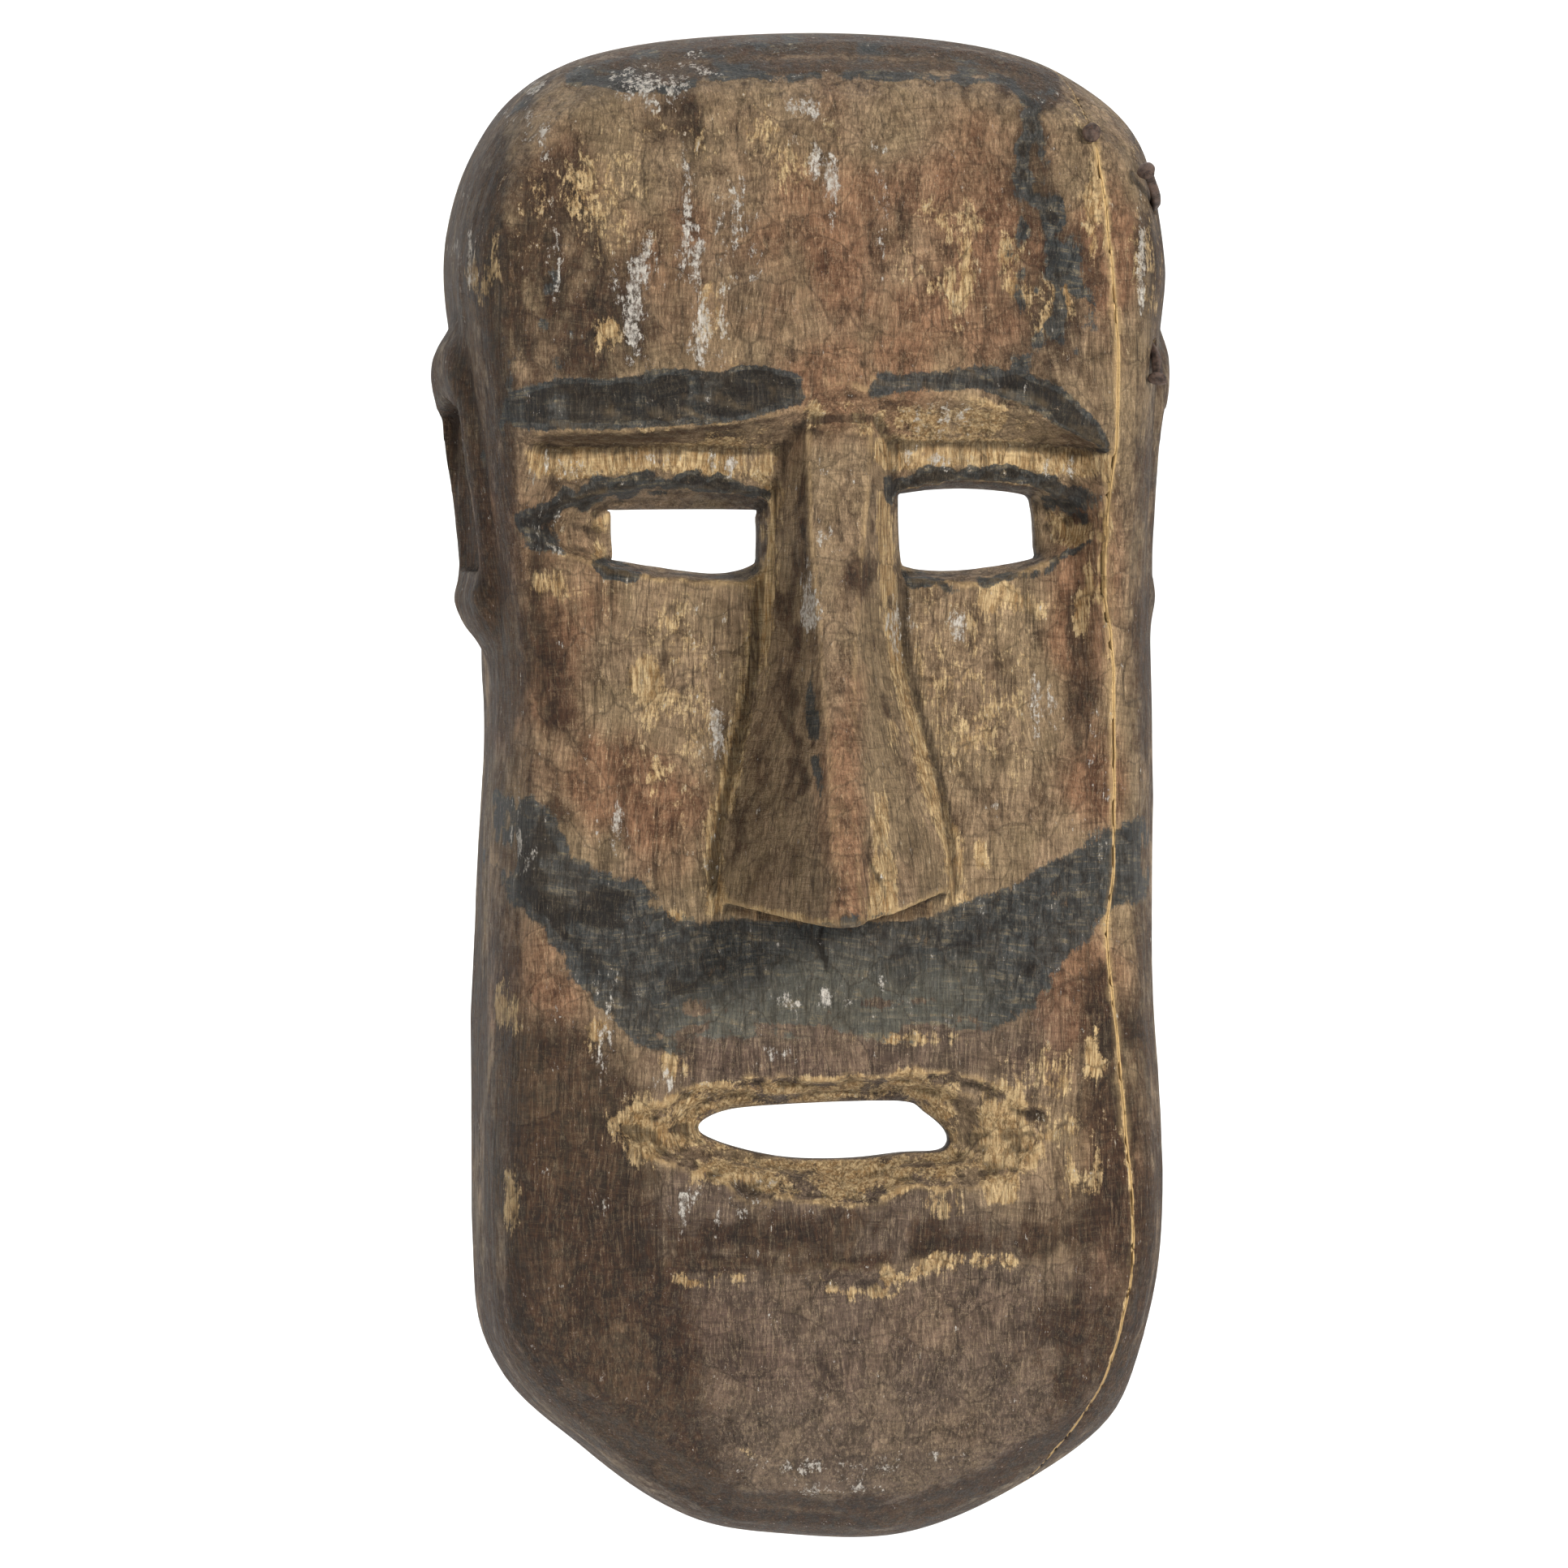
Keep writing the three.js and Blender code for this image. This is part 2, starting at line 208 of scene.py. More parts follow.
# The nose along z: depth of its ridge, half width of the ridge and x of its left and right foot.
NOSE_RIDGE = curve([
    (-36, 98.5), (-30, NOSE_DEPTH - 0.5), (-18, 95), (0, 90), (40, 79.5), (70, 72.5), (79, 69.5), (84, 62),
])
NOSE_RIDGE_HALF = curve([(-36, 2.8), (0, 2.8), (30, 4), (60, 6.2), (80, 7.2)])
NOSE_LEFT = curve([
    (-36, -25.5), (-25, -24.6), (2, -20.3), (21, -15.6), (45, -13.6), (62, -13.4), (76, -11.5), (84, -8),
])
NOSE_RIGHT = curve([
    (-36, 28), (-22, 26.9), (-2, 24), (12, 20.6), (26, 17), (45, 16), (62, 14.6), (76, 12.5), (84, 9),
])
NOSE_FOOT, NOSE_TOP, NOSE_REACH = -25.0, 84.0, 30.0
# How far the ear's rim stands out at each height.
EAR_REACH = {
    -1: curve([(22, 66), (27, 72), (31, 75), (36, 78), (41, 79.5), (46, 78.6), (60, 79.6), (75, 81.8),
               (83, 83), (91, 84.9), (97, 84.4), (103, 80.5), (108, 74)]),
    1: curve([(22, 66), (27, 71.5), (31, 74), (36, 76), (41, 77.5), (46, 76.8), (60, 77.3), (75, 78.4),
              (83, 80), (91, 81.1), (97, 80.6), (103, 78), (108, 72)]),
}
EAR_CENTRE, EAR_HALF_DEPTH, EAR_MIDDLE, EAR_HALF_HEIGHT = 25.0, 21.0, 65.0, 41.0

GRID_X = np.arange(-87, 87 + STEP, STEP)
GRID_D = np.arange(-2.5 * STEP, 101, STEP)
GRID_Z = np.arange(-172, 172, STEP)
GRID_START = np.array([GRID_X[0], GRID_D[0], GRID_Z[0]])
MAP_X, MAP_Z = np.meshgrid(GRID_X, GRID_Z, indexing="ij")
EDGE = inside_distance(MAP_X, MAP_Z, OUTLINE)  # how far in from the outline each place lies


def end_share(x, z):
    """1 near the crown and the chin, 0 at the sides."""
    end = (np.abs(z) / HALF_HEIGHT) ** 6
    return end / (end + (np.abs(x) / HALF_WIDTH) ** 6 + 1e-6)


def lens_recess(hole, lens, depth, wander, steps):
    """A recess that falls in small steps from the ragged outline of a lens to the hole in it."""
    x = MAP_X + wander * rough(MAP_X / 7 + 2, MAP_Z / 5, 3, 3)
    z = MAP_Z + wander * rough(MAP_X / 9, MAP_Z / 4 + 6, 2, 3)
    to_lens = np.maximum(inside_distance(x, z, lens), 0)
    to_hole = np.maximum(-inside_distance(MAP_X, MAP_Z, hole), 0)
    share = to_lens / (to_lens + to_hole + 0.15)
    ledge = np.sin(2 * math.pi * steps * share + 3 * rough(MAP_X / 11, MAP_Z / 6, 0, 3))
    return depth * clamp(share + 0.14 / steps * ledge * np.sqrt(share * (1 - share))) ** 0.85


def face_map():
    """The depth of the front of the face, without the nose."""
    x, z = MAP_X, MAP_Z
    height = PROFILE(z) - FACE_CROWN * (x / HALF_WIDTH) ** 2
    sockets = 1 - ramp(np.abs(x + 3), 56, 66)
    brow, crease = BROW_EDGE(x), CREASE(x)
    under_brow = clamp((brow - z) / (brow - crease))
    cheek = ramp(z, -20, 60)
    height -= SOCKET_DROP * sockets * under_brow * cheek
    swell = (z - brow - 3.5) / np.where(z > brow + 3.5, 8.0, 4.8)
    height += 2.4 * sockets * np.exp(-(swell**2))
    lid_middle = (crease + 65.5) / 2
    height += 1.3 * sockets * np.exp(-(((z - lid_middle) / 3.6) ** 2))
    for hole, lens in zip(EYE_HOLES, EYE_LENSES):
        height -= lens_recess(hole, lens, 8.5, 0.8, 2)
    height -= lens_recess(MOUTH_HOLE, MOUTH_LENS, 9.5, 2.4, 2)
    # Broad cuts of the adze, long ones of the knife, and grain raised by age.
    height += 0.9 * rough(x / 45 + 3, z / 60, 1, 2)
    height += 0.85 * (scallops(x / 17 + 5, z / 26, 0) - 0.4)
    height += 0.40 * (scallops(x / 6 + 1, z / 11, 2) - 0.4)
    # The low ridge across the chin, and the long cuts below it.
    ridge = z + 105.5 - 3 * np.exp(-(((x - 30) / 14) ** 2)) - 1.5 * rough(x / 14, z / 50, 1, 3)
    breaks = ramp(52 - np.abs(x), 0, 18) * (0.6 + 0.8 * rough(x / 9, z / 60, 2, 2))
    height += 0.8 * np.exp(-((ridge / 2.2) ** 2)) * breaks
    height += 0.5 * rough(x / 22 + 0.04 * z, z / 5, 3, 3) * ramp(-z, 96, 108)
    height += 0.20 * rough(x / 2.2, z / 45, 3, 3)
    left_brow = ramp(-x + 8 * rough(x / 9, z / 9, 1), -6, 18) * ramp(z, 92, 108)
    height += 0.45 * rough(x / 15 + 0.06 * z, z / 5.0 + 0.06 * x, 0, 3) * left_brow
    # Deeper marks of the knife round the mouth and at the outer corners of the eyes.
    near_mouth = ramp(inside_distance(x, z, MOUTH_LENS), -6, 1) * (0.55 + 0.45 * ramp(x, -10, 30))
    height += 1.1 * near_mouth * (scallops(x / 20 + 2.3, z / 8 + 0.05 * x, 1) - 0.4)
    height += 0.7 * near_mouth * rough(x / 30 + 0.05 * z, z / 4.5 + 0.03 * x, 2, 2)
    for lens in EYE_LENSES:
        near_eye = ramp(inside_distance(x, z, lens), -2.5, 1)
        height += 0.9 * near_eye * (scallops(x / 6.5 + 0.14 * z, z / 4.5, 2) - 0.4)
    brow_band = sockets * ramp(z, brow - 1, brow + 1) * (1 - ramp(z, brow + 4, brow + 14))
    height += 0.95 * brow_band * rough(x / 6 + 0.25 * z, z / 3.5, 2, 4)
    # The notch between the brows, and the groove cut down each side of the nose.
    height -= 2.0 * np.exp(-(((z - 83.2) / 2.2) ** 2 + ((x - 1) / 9) ** 2))
    for foot, depth, reach in ((NOSE_LEFT(z) - 1.2, 1.4, 1.8), (NOSE_RIGHT(z) + 1.0, 0.8, 1.6)):
        along = ramp(z, NOSE_FOOT - 2, NOSE_FOOT + 6) * (1 - ramp(z, 55, 66))
        height -= depth * along * np.exp(-(((x - foot) / reach) ** 2))
    # The step below the nose and a short crack in the lip.
    crack = np.abs(x + 1.2 - 0.8 * np.sin(z / 2.4)) + 30 * ramp(np.abs(z + 36), 5, 7)
    height -= 0.9 * (1 - ramp(crack, 0.2, 1.0))
    return height


def nose_map():
    """The depth of the nose's front, continued below its foot."""
    x, z = MAP_X, MAP_Z
    half = NOSE_RIDGE_HALF(z)
    across = x - 0.4 - 1.2 * ramp(z, 40, 80)
    left = (-across - half) / (-NOSE_LEFT(z) - half)
    right = (across - half) / (NOSE_RIGHT(z) - half)
    down = np.maximum(np.maximum(left, right), 0)
    base = PROFILE(z) - SOCKET_DROP * ramp(z, -20, 60) - 1
    ridge = NOSE_RIDGE(z)
    height = ridge - 0.6 * (across / half) ** 2 * (down == 0) - 0.6 * (down > 0)
    height -= (ridge - base) * down ** (1.0 + 0.16 * ramp(z, 40, -20))
    height += 0.30 * rough(x / 2.6 + 0.02 * z, z / 40, 2, 3)
    height += 0.5 * (scallops(x / 8, z / 22, 3) - 0.4)
    # The corner of the tip that has chipped off, in steps along the grain.
    chip = [(5.5, -34), (12, -34), (10.5, -22), (7.5, -17), (7.0, -10), (4.2, -16)]
    chipped = ramp(inside_distance(x, z, np.array(chip)), -0.5, 0.8)
    height -= chipped * (1.6 + 0.5 * rough(x / 1.6, z / 12, 1, 2))
    return height


FACE, NOSE = face_map(), nose_map()


def steepness(height):
    """What a height map is divided by to turn heights into distances."""
    dx, dz = np.gradient(height, STEP)
    return np.sqrt(1 + dx**2 + dz**2)


def split_offset(z, depth):
    """The x of the split, which wanders a little with the grain."""
    wander = 0.5 * rough(z / 22, z * 0 + 0.5, 1, 3) + 0.25 * rough(z / 6, depth / 14, 2, 2)
    return SPLIT(z) - SPLIT_LEAN * (SPLIT_DEPTH - depth) + wander


def ear_fields(x, depth, z, side):
    """The pad of one ear, and the scoop cut into it."""
    away = side * x
    lift = EAR_REACH[side](z) - 0.10 * np.maximum(depth - 12, 0) - 0.05 * np.maximum(12 - depth, 0) ** 1.5
    lift = lift + 0.35 * rough(depth / 5, z / 14, 1, 3)
    u, v = (depth - EAR_CENTRE) / EAR_HALF_DEPTH, (z - EAR_MIDDLE) / EAR_HALF_HEIGHT
    pad = np.minimum(joined(lift - away, (1 - np.sqrt(u**2 + v**2)) * EAR_HALF_DEPTH, 5.0), away - 62)
    floor = 67.5 + np.maximum(38 - depth, 0) * 0.40 + 0.5 * rough(depth / 3, z / 20, 2, 3)
    rear = depth - 8.5 - 0.06 * np.abs(z - 66)
    front = 40.5 - depth - 0.18 * (away - 70)
    ends = joined(z - 45.5 - 0.3 * (away - 70), 85.5 - z - 0.2 * np.abs(depth - 25), 5.0)
    scoop = joined(joined(away - floor, joined(rear, front, 2.0), 1.5), ends, 2.0)
    return pad, scoop


def wood_fields():
    """The shell's and the stave's distance fields on the grid, positive inside the wood."""
    x = GRID_X[:, None, None].astype(np.float32)
    depth = GRID_D[None, :, None].astype(np.float32)
    z = GRID_Z[None, None, :].astype(np.float32)
    ends = end_share(MAP_X, MAP_Z)
    side_z, side_d = np.meshgrid(GRID_Z, GRID_D, indexing="ij")
    facets = scallops(side_d / 19 + 2, side_z / 34, 1) - 0.4 + 0.25 * rough(side_d / 2.5, side_z / 50, 0, 3)
    facets += 0.9 * rough(side_d / 60, side_z / 50 + 4, 3, 2)
    facets = 0.8 * facets.T[None].astype(np.float32)

    front = (FACE[:, None, :] - depth) / steepness(FACE)[:, None, :]
    share = np.arange(0, 2, 0.02)
    inset = np.interp(share, [0, 0.38, 0.62, 0.8, 0.93, 1.03, 1.15, 1.35], [0, 0.2, 1.1, 2.7, 5.2, 9, 20, 70])
    share_here = np.maximum(depth, 0) / (PROFILE(z) - FACE_CROWN)
    bevel = np.interp(share, [0, 0.55, 0.75, 0.90, 1.06, 1.12, 1.3], [0, 0.5, 1.1, 2.3, 6.0, 11, 40])
    rolled = np.interp(share_here, share, inset)
    rolled = (rolled + ends[:, None, :] * (np.interp(share_here, share, bevel) - rolled)).astype(np.float32)
    wall = (EDGE / (1 + ends))[:, None, :] - rolled + facets * (1 - ends[:, None, :])
    across, back = np.meshgrid(GRID_X, GRID_D, indexing="ij")
    cuts = 0.9 * (scallops(across / 15, back / 11 + 0.02 * across, 2) - 0.4)
    cuts += 0.3 * rough(across / 3, back / 8, 0, 3)
    wall = wall + (ends[:, None, :] * ramp(share_here, 0.80, 0.97) * cuts[:, :, None]).astype(np.float32)
    wood = joined(front, wall, (2.6 - 1.6 * ends)[:, None, :])

    foot = NOSE_FOOT - 0.185 * (depth - 64) + 0.05 * x
    nose = joined((NOSE[:, None, :] - depth) / steepness(NOSE)[:, None, :], z - foot, 1.2)
    nose = np.minimum(np.minimum(nose, NOSE_TOP - z), NOSE_REACH - np.abs(x))
    wood = merged(wood, nose, 1.4)

    for side in (-1, 1):
        pad, scoop = ear_fields(x, depth, z, side)
        wood = merged(wood, pad, 3.0)
        wood = joined(wood, -scoop, 1.0)

    reach = PROFILE(z) - FACE_CROWN - FACE_WALL - 9 * ramp(z, -30, 40)
    thickness = SIDE_WALL + (END_WALL - SIDE_WALL) * ends
    inner_share = np.maximum(depth, 0) / reach
    inner = np.interp(inner_share, [0, 0.45, 0.72, 0.9, 0.97, 1.02, 1.06], [0, 0, 2, 6, 14, 33, 60])
    gouges = 1.6 * (scallops(MAP_X / 15, MAP_Z / 24, 2) - 0.4) + 0.5 * rough(MAP_X / 4, MAP_Z / 30, 1, 3)
    hollow = joined(
        ((EDGE - thickness) / (1 + 0.5 * ends))[:, None, :] - inner.astype(np.float32) + facets,
        reach * 1.01 - gouges[:, None, :] - depth, 4.0,
    )
    wood = joined(wood, -hollow, 1.5)

    for hole in (*EYE_HOLES, MOUTH_HOLE):
        outside = -inside_distance(MAP_X, MAP_Z, hole)
        flare = 0.05 * np.maximum(52 - depth, 0)
        wood = joined(wood, outside[:, None, :] - flare, 0.8)
    wood = joined(wood, depth, 1.2)

    split = split_offset(z, depth)
    shell = np.minimum(wood, split - SPLIT_GAP / 2 - x)
    stave = np.minimum(wood, x - split - SPLIT_GAP / 2)
    return wood, shell.astype(np.float32), stave.astype(np.float32)


# ---- Meshing ----
def sample(field, points):
    """The value of a field, or of a map over x and z, at points in millimetres."""
    place = (points - GRID_START) / STEP
    if field.ndim == 2:
        place = place[:, [0, 2]]
    place = np.clip(place, 0, np.array(field.shape) - 1.001)
    base = place.astype(int)
    f = place - base
    total = 0
    for corner in np.ndindex(*[2] * field.ndim):
        weight = np.where(corner, f, 1 - f).prod(axis=1)
        total = total + weight * field[tuple((base + corner).T)]
    return total


def slope(field, points, reach=0.5):
    """A field's gradient at points in millimetres."""
    step = reach * STEP
    rises = [sample(field, points + offset) - sample(field, points - offset) for offset in step * np.eye(3)]
    return np.stack(rises, 1) / (2 * step)


def surface(field):
    """The field's zero surface as points (x, depth, z) and quads, by surface nets."""
    solid = field > 0
    corners = list(np.ndindex(2, 2, 2))
    shape = np.array(field.shape) - 1
    count = np.zeros(shape, dtype=np.int8)
    for a, b, c in corners:
        count += solid[a:a + shape[0], b:b + shape[1], c:c + shape[2]]
    cells = np.argwhere((count > 0) & (count < 8))
    number = np.full(shape, -1, dtype=np.int32)
    number[tuple(cells.T)] = np.arange(len(cells))

    total = np.zeros((len(cells), 3))
    hits = np.zeros(len(cells))
    for i, start in enumerate(corners):
        for end in corners[i + 1:]:
            if sum(abs(s - e) for s, e in zip(start, end)) != 1:
                continue
            p, q = cells + start, cells + end
            f, g = field[tuple(p.T)], field[tuple(q.T)]
            crossing = (f > 0) != (g > 0)
            t = np.where(crossing, f / np.where(crossing, f - g, 1), 0)
            total += np.where(crossing[:, None], p + (q - p) * t[:, None], 0)
            hits += crossing
    points = GRID_START + STEP * total / hits[:, None]

    quads = []
    for axis in range(3):
        u, v = (axis + 1) % 3, (axis + 2) % 3
        near, far = [slice(None)] * 3, [slice(None)] * 3
        near[axis], far[axis] = slice(0, -1), slice(1, None)
        change = solid[tuple(near)].astype(np.int8) - solid[tuple(far)]
        edges = np.argwhere(change != 0)
        edges = edges[((edges > 0) & (edges < shape))[:, [u, v]].all(1)]
        step_u, step_v = np.eye(3, dtype=int)[u], np.eye(3, dtype=int)[v]
        ring = np.stack([number[tuple((edges - a * step_u - b * step_v).T)]
                         for a, b in ((1, 1), (0, 1), (0, 0), (1, 0))], 1)
        outward = change[tuple(edges.T)] > 0
        ring[~outward] = ring[~outward][:, ::-1]
        quads.append(ring)
    return points, np.concatenate(quads)


def settle(field, points, rounds=3):
    """Moves the points onto the field's zero surface."""
    for _ in range(rounds):
        g = slope(field, points)
        value = sample(field, points)
        move = -value[:, None] * g / np.maximum((g**2).sum(1), 0.05)[:, None]
        length = np.linalg.norm(move, axis=1, keepdims=True)
        points = points + move * np.minimum(1, 0.35 * STEP / np.maximum(length, 1e-6))
    return points


def sharpen(points, side):
    """Moves the points beside the split onto the sharp corner where it meets the outer wood."""
    def across(p):
        return side * (p[:, 0] - split_offset(p[:, 2], p[:, 1])) - SPLIT_GAP / 2

    near = np.flatnonzero((np.abs(across(points)) < 0.5 * STEP) & (np.abs(sample(WOOD, points)) < 0.5 * STEP))
    p = points[near]
    for _ in range(4):
        g = slope(WOOD, p, 0.35)
        h = np.stack([(across(p + e) - across(p - e)) / 0.2 for e in 0.1 * np.eye(3)], 1)
        f = np.stack([sample(WOOD, p), across(p)], 1)
        gg, hh, gh = (g * g).sum(1), (h * h).sum(1), (g * h).sum(1)
        spread = np.maximum(gg * hh - gh**2, 0.05)
        a = (hh * f[:, 0] - gh * f[:, 1]) / spread
        b = (gg * f[:, 1] - gh * f[:, 0]) / spread
        move = -(a[:, None] * g + b[:, None] * h)
        length = np.linalg.norm(move, axis=1, keepdims=True)
        p = p + move * np.minimum(1, 0.4 * STEP / np.maximum(length, 1e-6))
    good = (np.abs(across(p)) < 0.05) & (np.linalg.norm(p - points[near], axis=1) < 1.2 * STEP)
    points[near[good]] = p[good]
    return points


def to_frame(points_mm):
    """Points (x, depth, z) in millimetres as the frame's (x, y, z) in metres."""
    return np.stack([points_mm[:, 0], -points_mm[:, 1], points_mm[:, 2]], 1) * MM


def make_object(name, vertices, faces):
    """A smooth object in the scene, from vertices in metres and an array or a list of faces."""
    mesh = bpy.data.meshes.new(name)
    mesh.vertices.add(len(vertices))
    mesh.vertices.foreach_set("co", np.array(vertices, dtype=np.float32).ravel())
    sizes = np.array([len(face) for face in faces], dtype=np.int32)
    mesh.loops.add(sizes.sum())
    mesh.loops.foreach_set("vertex_index", np.concatenate(faces).astype(np.int32))
    mesh.polygons.add(len(faces))
    mesh.polygons.foreach_set("loop_start", (np.cumsum(sizes) - sizes).astype(np.int32))
    mesh.polygons.foreach_set("loop_total", sizes)
    mesh.update(calc_edges=True)
    mesh.validate()
    mesh.polygons.foreach_set("use_smooth", np.ones(len(mesh.polygons), dtype=bool))
    obj = bpy.data.objects.new(name, mesh)
    bpy.context.scene.collection.objects.link(obj)
    return obj


def side_pairs(quads):
    """Each edge of the quads once, as two columns of vertex numbers."""
    pairs = np.concatenate([quads[:, (i, (i + 1) % 4)] for i in range(4)])
    pairs = np.sort(pairs, axis=1)
    keys = np.unique(pairs[:, 0].astype(np.int64) * (quads.max() + 1) + pairs[:, 1])
    return np.stack([keys // (quads.max() + 1), keys % (quads.max() + 1)], 1)


def neighbour_mean(values, pairs, rounds=1):
    """Values on the vertices, averaged with their neighbours' a number of times."""
    shape, values = values.shape, values.reshape(len(values), -1)
    ends = np.concatenate([pairs, pairs[:, ::-1]]).T
    links = np.maximum(np.bincount(ends[0], minlength=len(values)), 1)
    for _ in range(rounds):
        sums = [np.bincount(ends[0], column[ends[1]], len(values)) for column in values.T]
        values = 0.5 * values + 0.5 * np.stack(sums, 1) / links[:, None]
    return values.reshape(shape)


def largest_part(points, quads):
    """Drops every loose crumb but the largest connected part."""
    pairs = side_pairs(quads)
    label = np.arange(len(points))
    while True:
        low = np.minimum(label[pairs[:, 0]], label[pairs[:, 1]])
        new = label.copy()
        np.minimum.at(new, pairs[:, 0], low)
        np.minimum.at(new, pairs[:, 1], low)
        new = new[new]
        if (new == label).all():
            break
        label = new
    keep = label == np.bincount(label).argmax()
    number = np.cumsum(keep) - 1
    quads = quads[keep[quads[:, 0]]]
    return points[keep], number[quads]


# ---- The nails: a tapering square shank, bent, with a hammered head ----
NAILS = {
    "split_nail": [(57.8, 38, 142.8), (57.8, 50, 142.8), (57.8, 62.6, 142.8)],
    "upper_side_nail": [
        (57, 43, 126.5), (66, 44.5, 126.5), (72.8, 49, 127), (73.4, 54.5, 128.5), (71.6, 60.5, 132),
        (69.9, 63.5, 134.4),
    ],
    "lower_side_nail": [
        (60, 40, 98), (66, 47, 98), (71, 55, 97.5), (72.4, 60, 94.5), (72.4, 63, 91), (72.2, 64.5, 88.8),
    ],
}
NAIL_RADIUS, NAIL_HEAD_RADIUS = 1.1, 2.1
# The head's rings: how far each rises, and its share of the radius.
NAIL_HEAD = [(0.0, 0.62), (0.15, 0.93), (0.45, 1.0), (0.8, 0.96), (1.1, 0.78), (1.28, 0.5), (1.32, 0.2)]


def nail_path(route, count=60):
    p = np.array(route, dtype=float)
    for _ in range(4):
        first, last = p[:-1] * 0.75 + p[1:] * 0.25, p[:-1] * 0.25 + p[1:] * 0.75
        p = np.concatenate([p[:1], np.stack([first, last], 1).reshape(-1, 3), p[-1:]])
    at = np.concatenate([[0], np.cumsum(np.linalg.norm(np.diff(p, axis=0), axis=1))])
    along = np.linspace(0, at[-1], count)
    path = np.stack([np.interp(along, at, column) for column in p.T], 1)
    return path, along / at[-1], at[-1]


def nail_rings(route, seed):
    """The nail's rings of points, from the hidden tip of the shank over its hammered head."""
    path, along, length = nail_path(route)
    ahead = np.gradient(path, axis=0)
    ahead /= np.linalg.norm(ahead, axis=1, keepdims=True)
    side = np.cross(ahead, [0.2, 0.3, 0.93])
    side /= np.linalg.norm(side, axis=1, keepdims=True)
    other = np.cross(ahead, side)
    angles = np.arange(20) / 20 * 2 * math.pi

    def ring(middle, radius, i):
        return middle + np.outer(np.cos(angles) * radius, side[i]) + np.outer(np.sin(angles) * radius, other[i])

    rings = []
    for i, middle in enumerate(path):
        taper = NAIL_RADIUS * (0.45 + 0.55 * ramp(along[i], 0, 0.35)) * (1 + 0.10 * np.cos(4 * angles))
        rust = 0.07 * rough(angles * 1.6 + 3, angles * 0 + along[i] * length * 1.1, 1, 3)
        rings.append(ring(middle, taper + rust, i))
    dents = 0.16 * rough(angles / 1.3, angles * 0 + seed, 2, 2)
    for rise, share in NAIL_HEAD:
        tilt = rise - 0.5 + 0.12 * np.cos(angles + 1.1) * share + 0.3 * dents
        rings.append(ring(path[-1] + np.outer(tilt, ahead[-1]), NAIL_HEAD_RADIUS * share * (1 + dents), -1))
    ends = [path[0] - 0.3 * ahead[0], path[-1] + 0.85 * ahead[-1]]
    return np.array(rings), ends


def nail_object(name, route):
    rings, ends = nail_rings(route, len(name))
    count, size = rings.shape[:2]
    number = np.arange(count * size).reshape(count, size)
    onward = np.roll(number, -1, axis=1)
    sides = np.stack([number[1:], onward[1:], onward[:-1], number[:-1]], -1).reshape(-1, 4)
    first, last = count * size, count * size + 1
    caps = [(first, j, k) for j, k in zip(number[0], onward[0])]
    caps += [(last, k, j) for j, k in zip(number[-1], onward[-1])]
    return make_object(name, to_frame(np.concatenate([rings.reshape(-1, 3), ends])), [*sides, *caps])


def drill(field, route, gap=0.35):
    """Cuts the nail's hole, with a little room round it, from a wood field."""
    path = nail_path(route, 24)[0]
    axes = (GRID_X, GRID_D, GRID_Z)
    low = np.maximum(((path.min(0) - 5 - GRID_START) / STEP).astype(int), 0)
    high = ((path.max(0) + 5 - GRID_START) / STEP).astype(int) + 1
    part = tuple(slice(a, b) for a, b in zip(low, high))
    place = np.meshgrid(*[axis[s] for axis, s in zip(axes, part)], indexing="ij", sparse=True)
    hole = np.sqrt(line_distance(place, path)) - NAIL_RADIUS * 1.1 - gap
    field[part] = np.minimum(field[part], hole)


# ---- Paint, wear and painted shade, from 0 to 1 at each point of the wood ----
def strongest(*layers):
    return np.max(layers, axis=0)


def ovals(place, shapes):
    """1 in the middle of each oval, falling to 0 just past its edge."""
    x, z = place
    return strongest(*[
        clamp(1.25 - 0.75 * np.sqrt(((x - cx) / rx) ** 2 + ((z - cz) / rz) ** 2)) for cx, cz, rx, rz in shapes
    ])


def region(place, outline, soft):
    """1 inside an outline and 0 outside it, with an edge of the given softness."""
    return clamp(0.5 + 0.5 * inside_distance(*place, rounded(outline, 4)) / soft)


def stroke(place, points, half_width):
    """1 along a line through the points, 0 beyond its width."""
    return clamp(1.25 - 0.75 * np.sqrt(line_distance(place, points)) / half_width)


# Outlines and lines of the paint, as points (x, z).
LEFT_BROW = [
    (-71, 80), (-66, 77.4), (-58, 76.8), (-40, 77.4), (-24, 78.6), (-9, 82), (-7, 85), (-9, 89.8),
    (-20, 90.4), (-30, 89.8), (-50, 88.4), (-62, 87), (-70, 85),
]
RIGHT_BROW = [
    (8, 85), (14, 85.2), (25, 85.8), (34, 85.2), (42, 83), (48, 79.8), (53, 76.4), (58, 73), (62, 73),
    (60, 77), (55.5, 81), (50, 86), (43, 89.6), (36, 91.2), (28, 91.6), (18, 90.6), (10, 90),
]
MOUSTACHE = [
    (-84, 0), (-70, -2), (-62, -5), (-57, -13), (-49, -20), (-38, -23), (-36, -29), (-15, -29), (14, -29),
    (35, -25), (47, -18), (55, -13), (62, -8), (72, -8), (76, -20), (72, -27), (65, -27), (59, -31),
    (52, -39), (45, -49), (36, -56), (20, -56), (0, -57), (-20, -57.5), (-38, -58), (-46, -53), (-56, -42),
    (-63, -33), (-72, -24), (-84, -22),
]
CROWN_BAND = [
    (-84, 140), (-66, 148), (-58, 157), (-52, 154.5), (-42, 152), (-34, 151.5), (-25, 155), (-12, 156),
    (10, 155.6), (28, 156.4), (39, 154.6), (44, 149), (49, 148), (52, 153), (50, 162), (30, 172), (-40, 172),
    (-84, 160),
]
CROWN_BRINK = [(-56, 155), (-42, 152), (-34, 151.5), (-25, 155), (10, 155.6), (39, 154.6), (45, 149)]
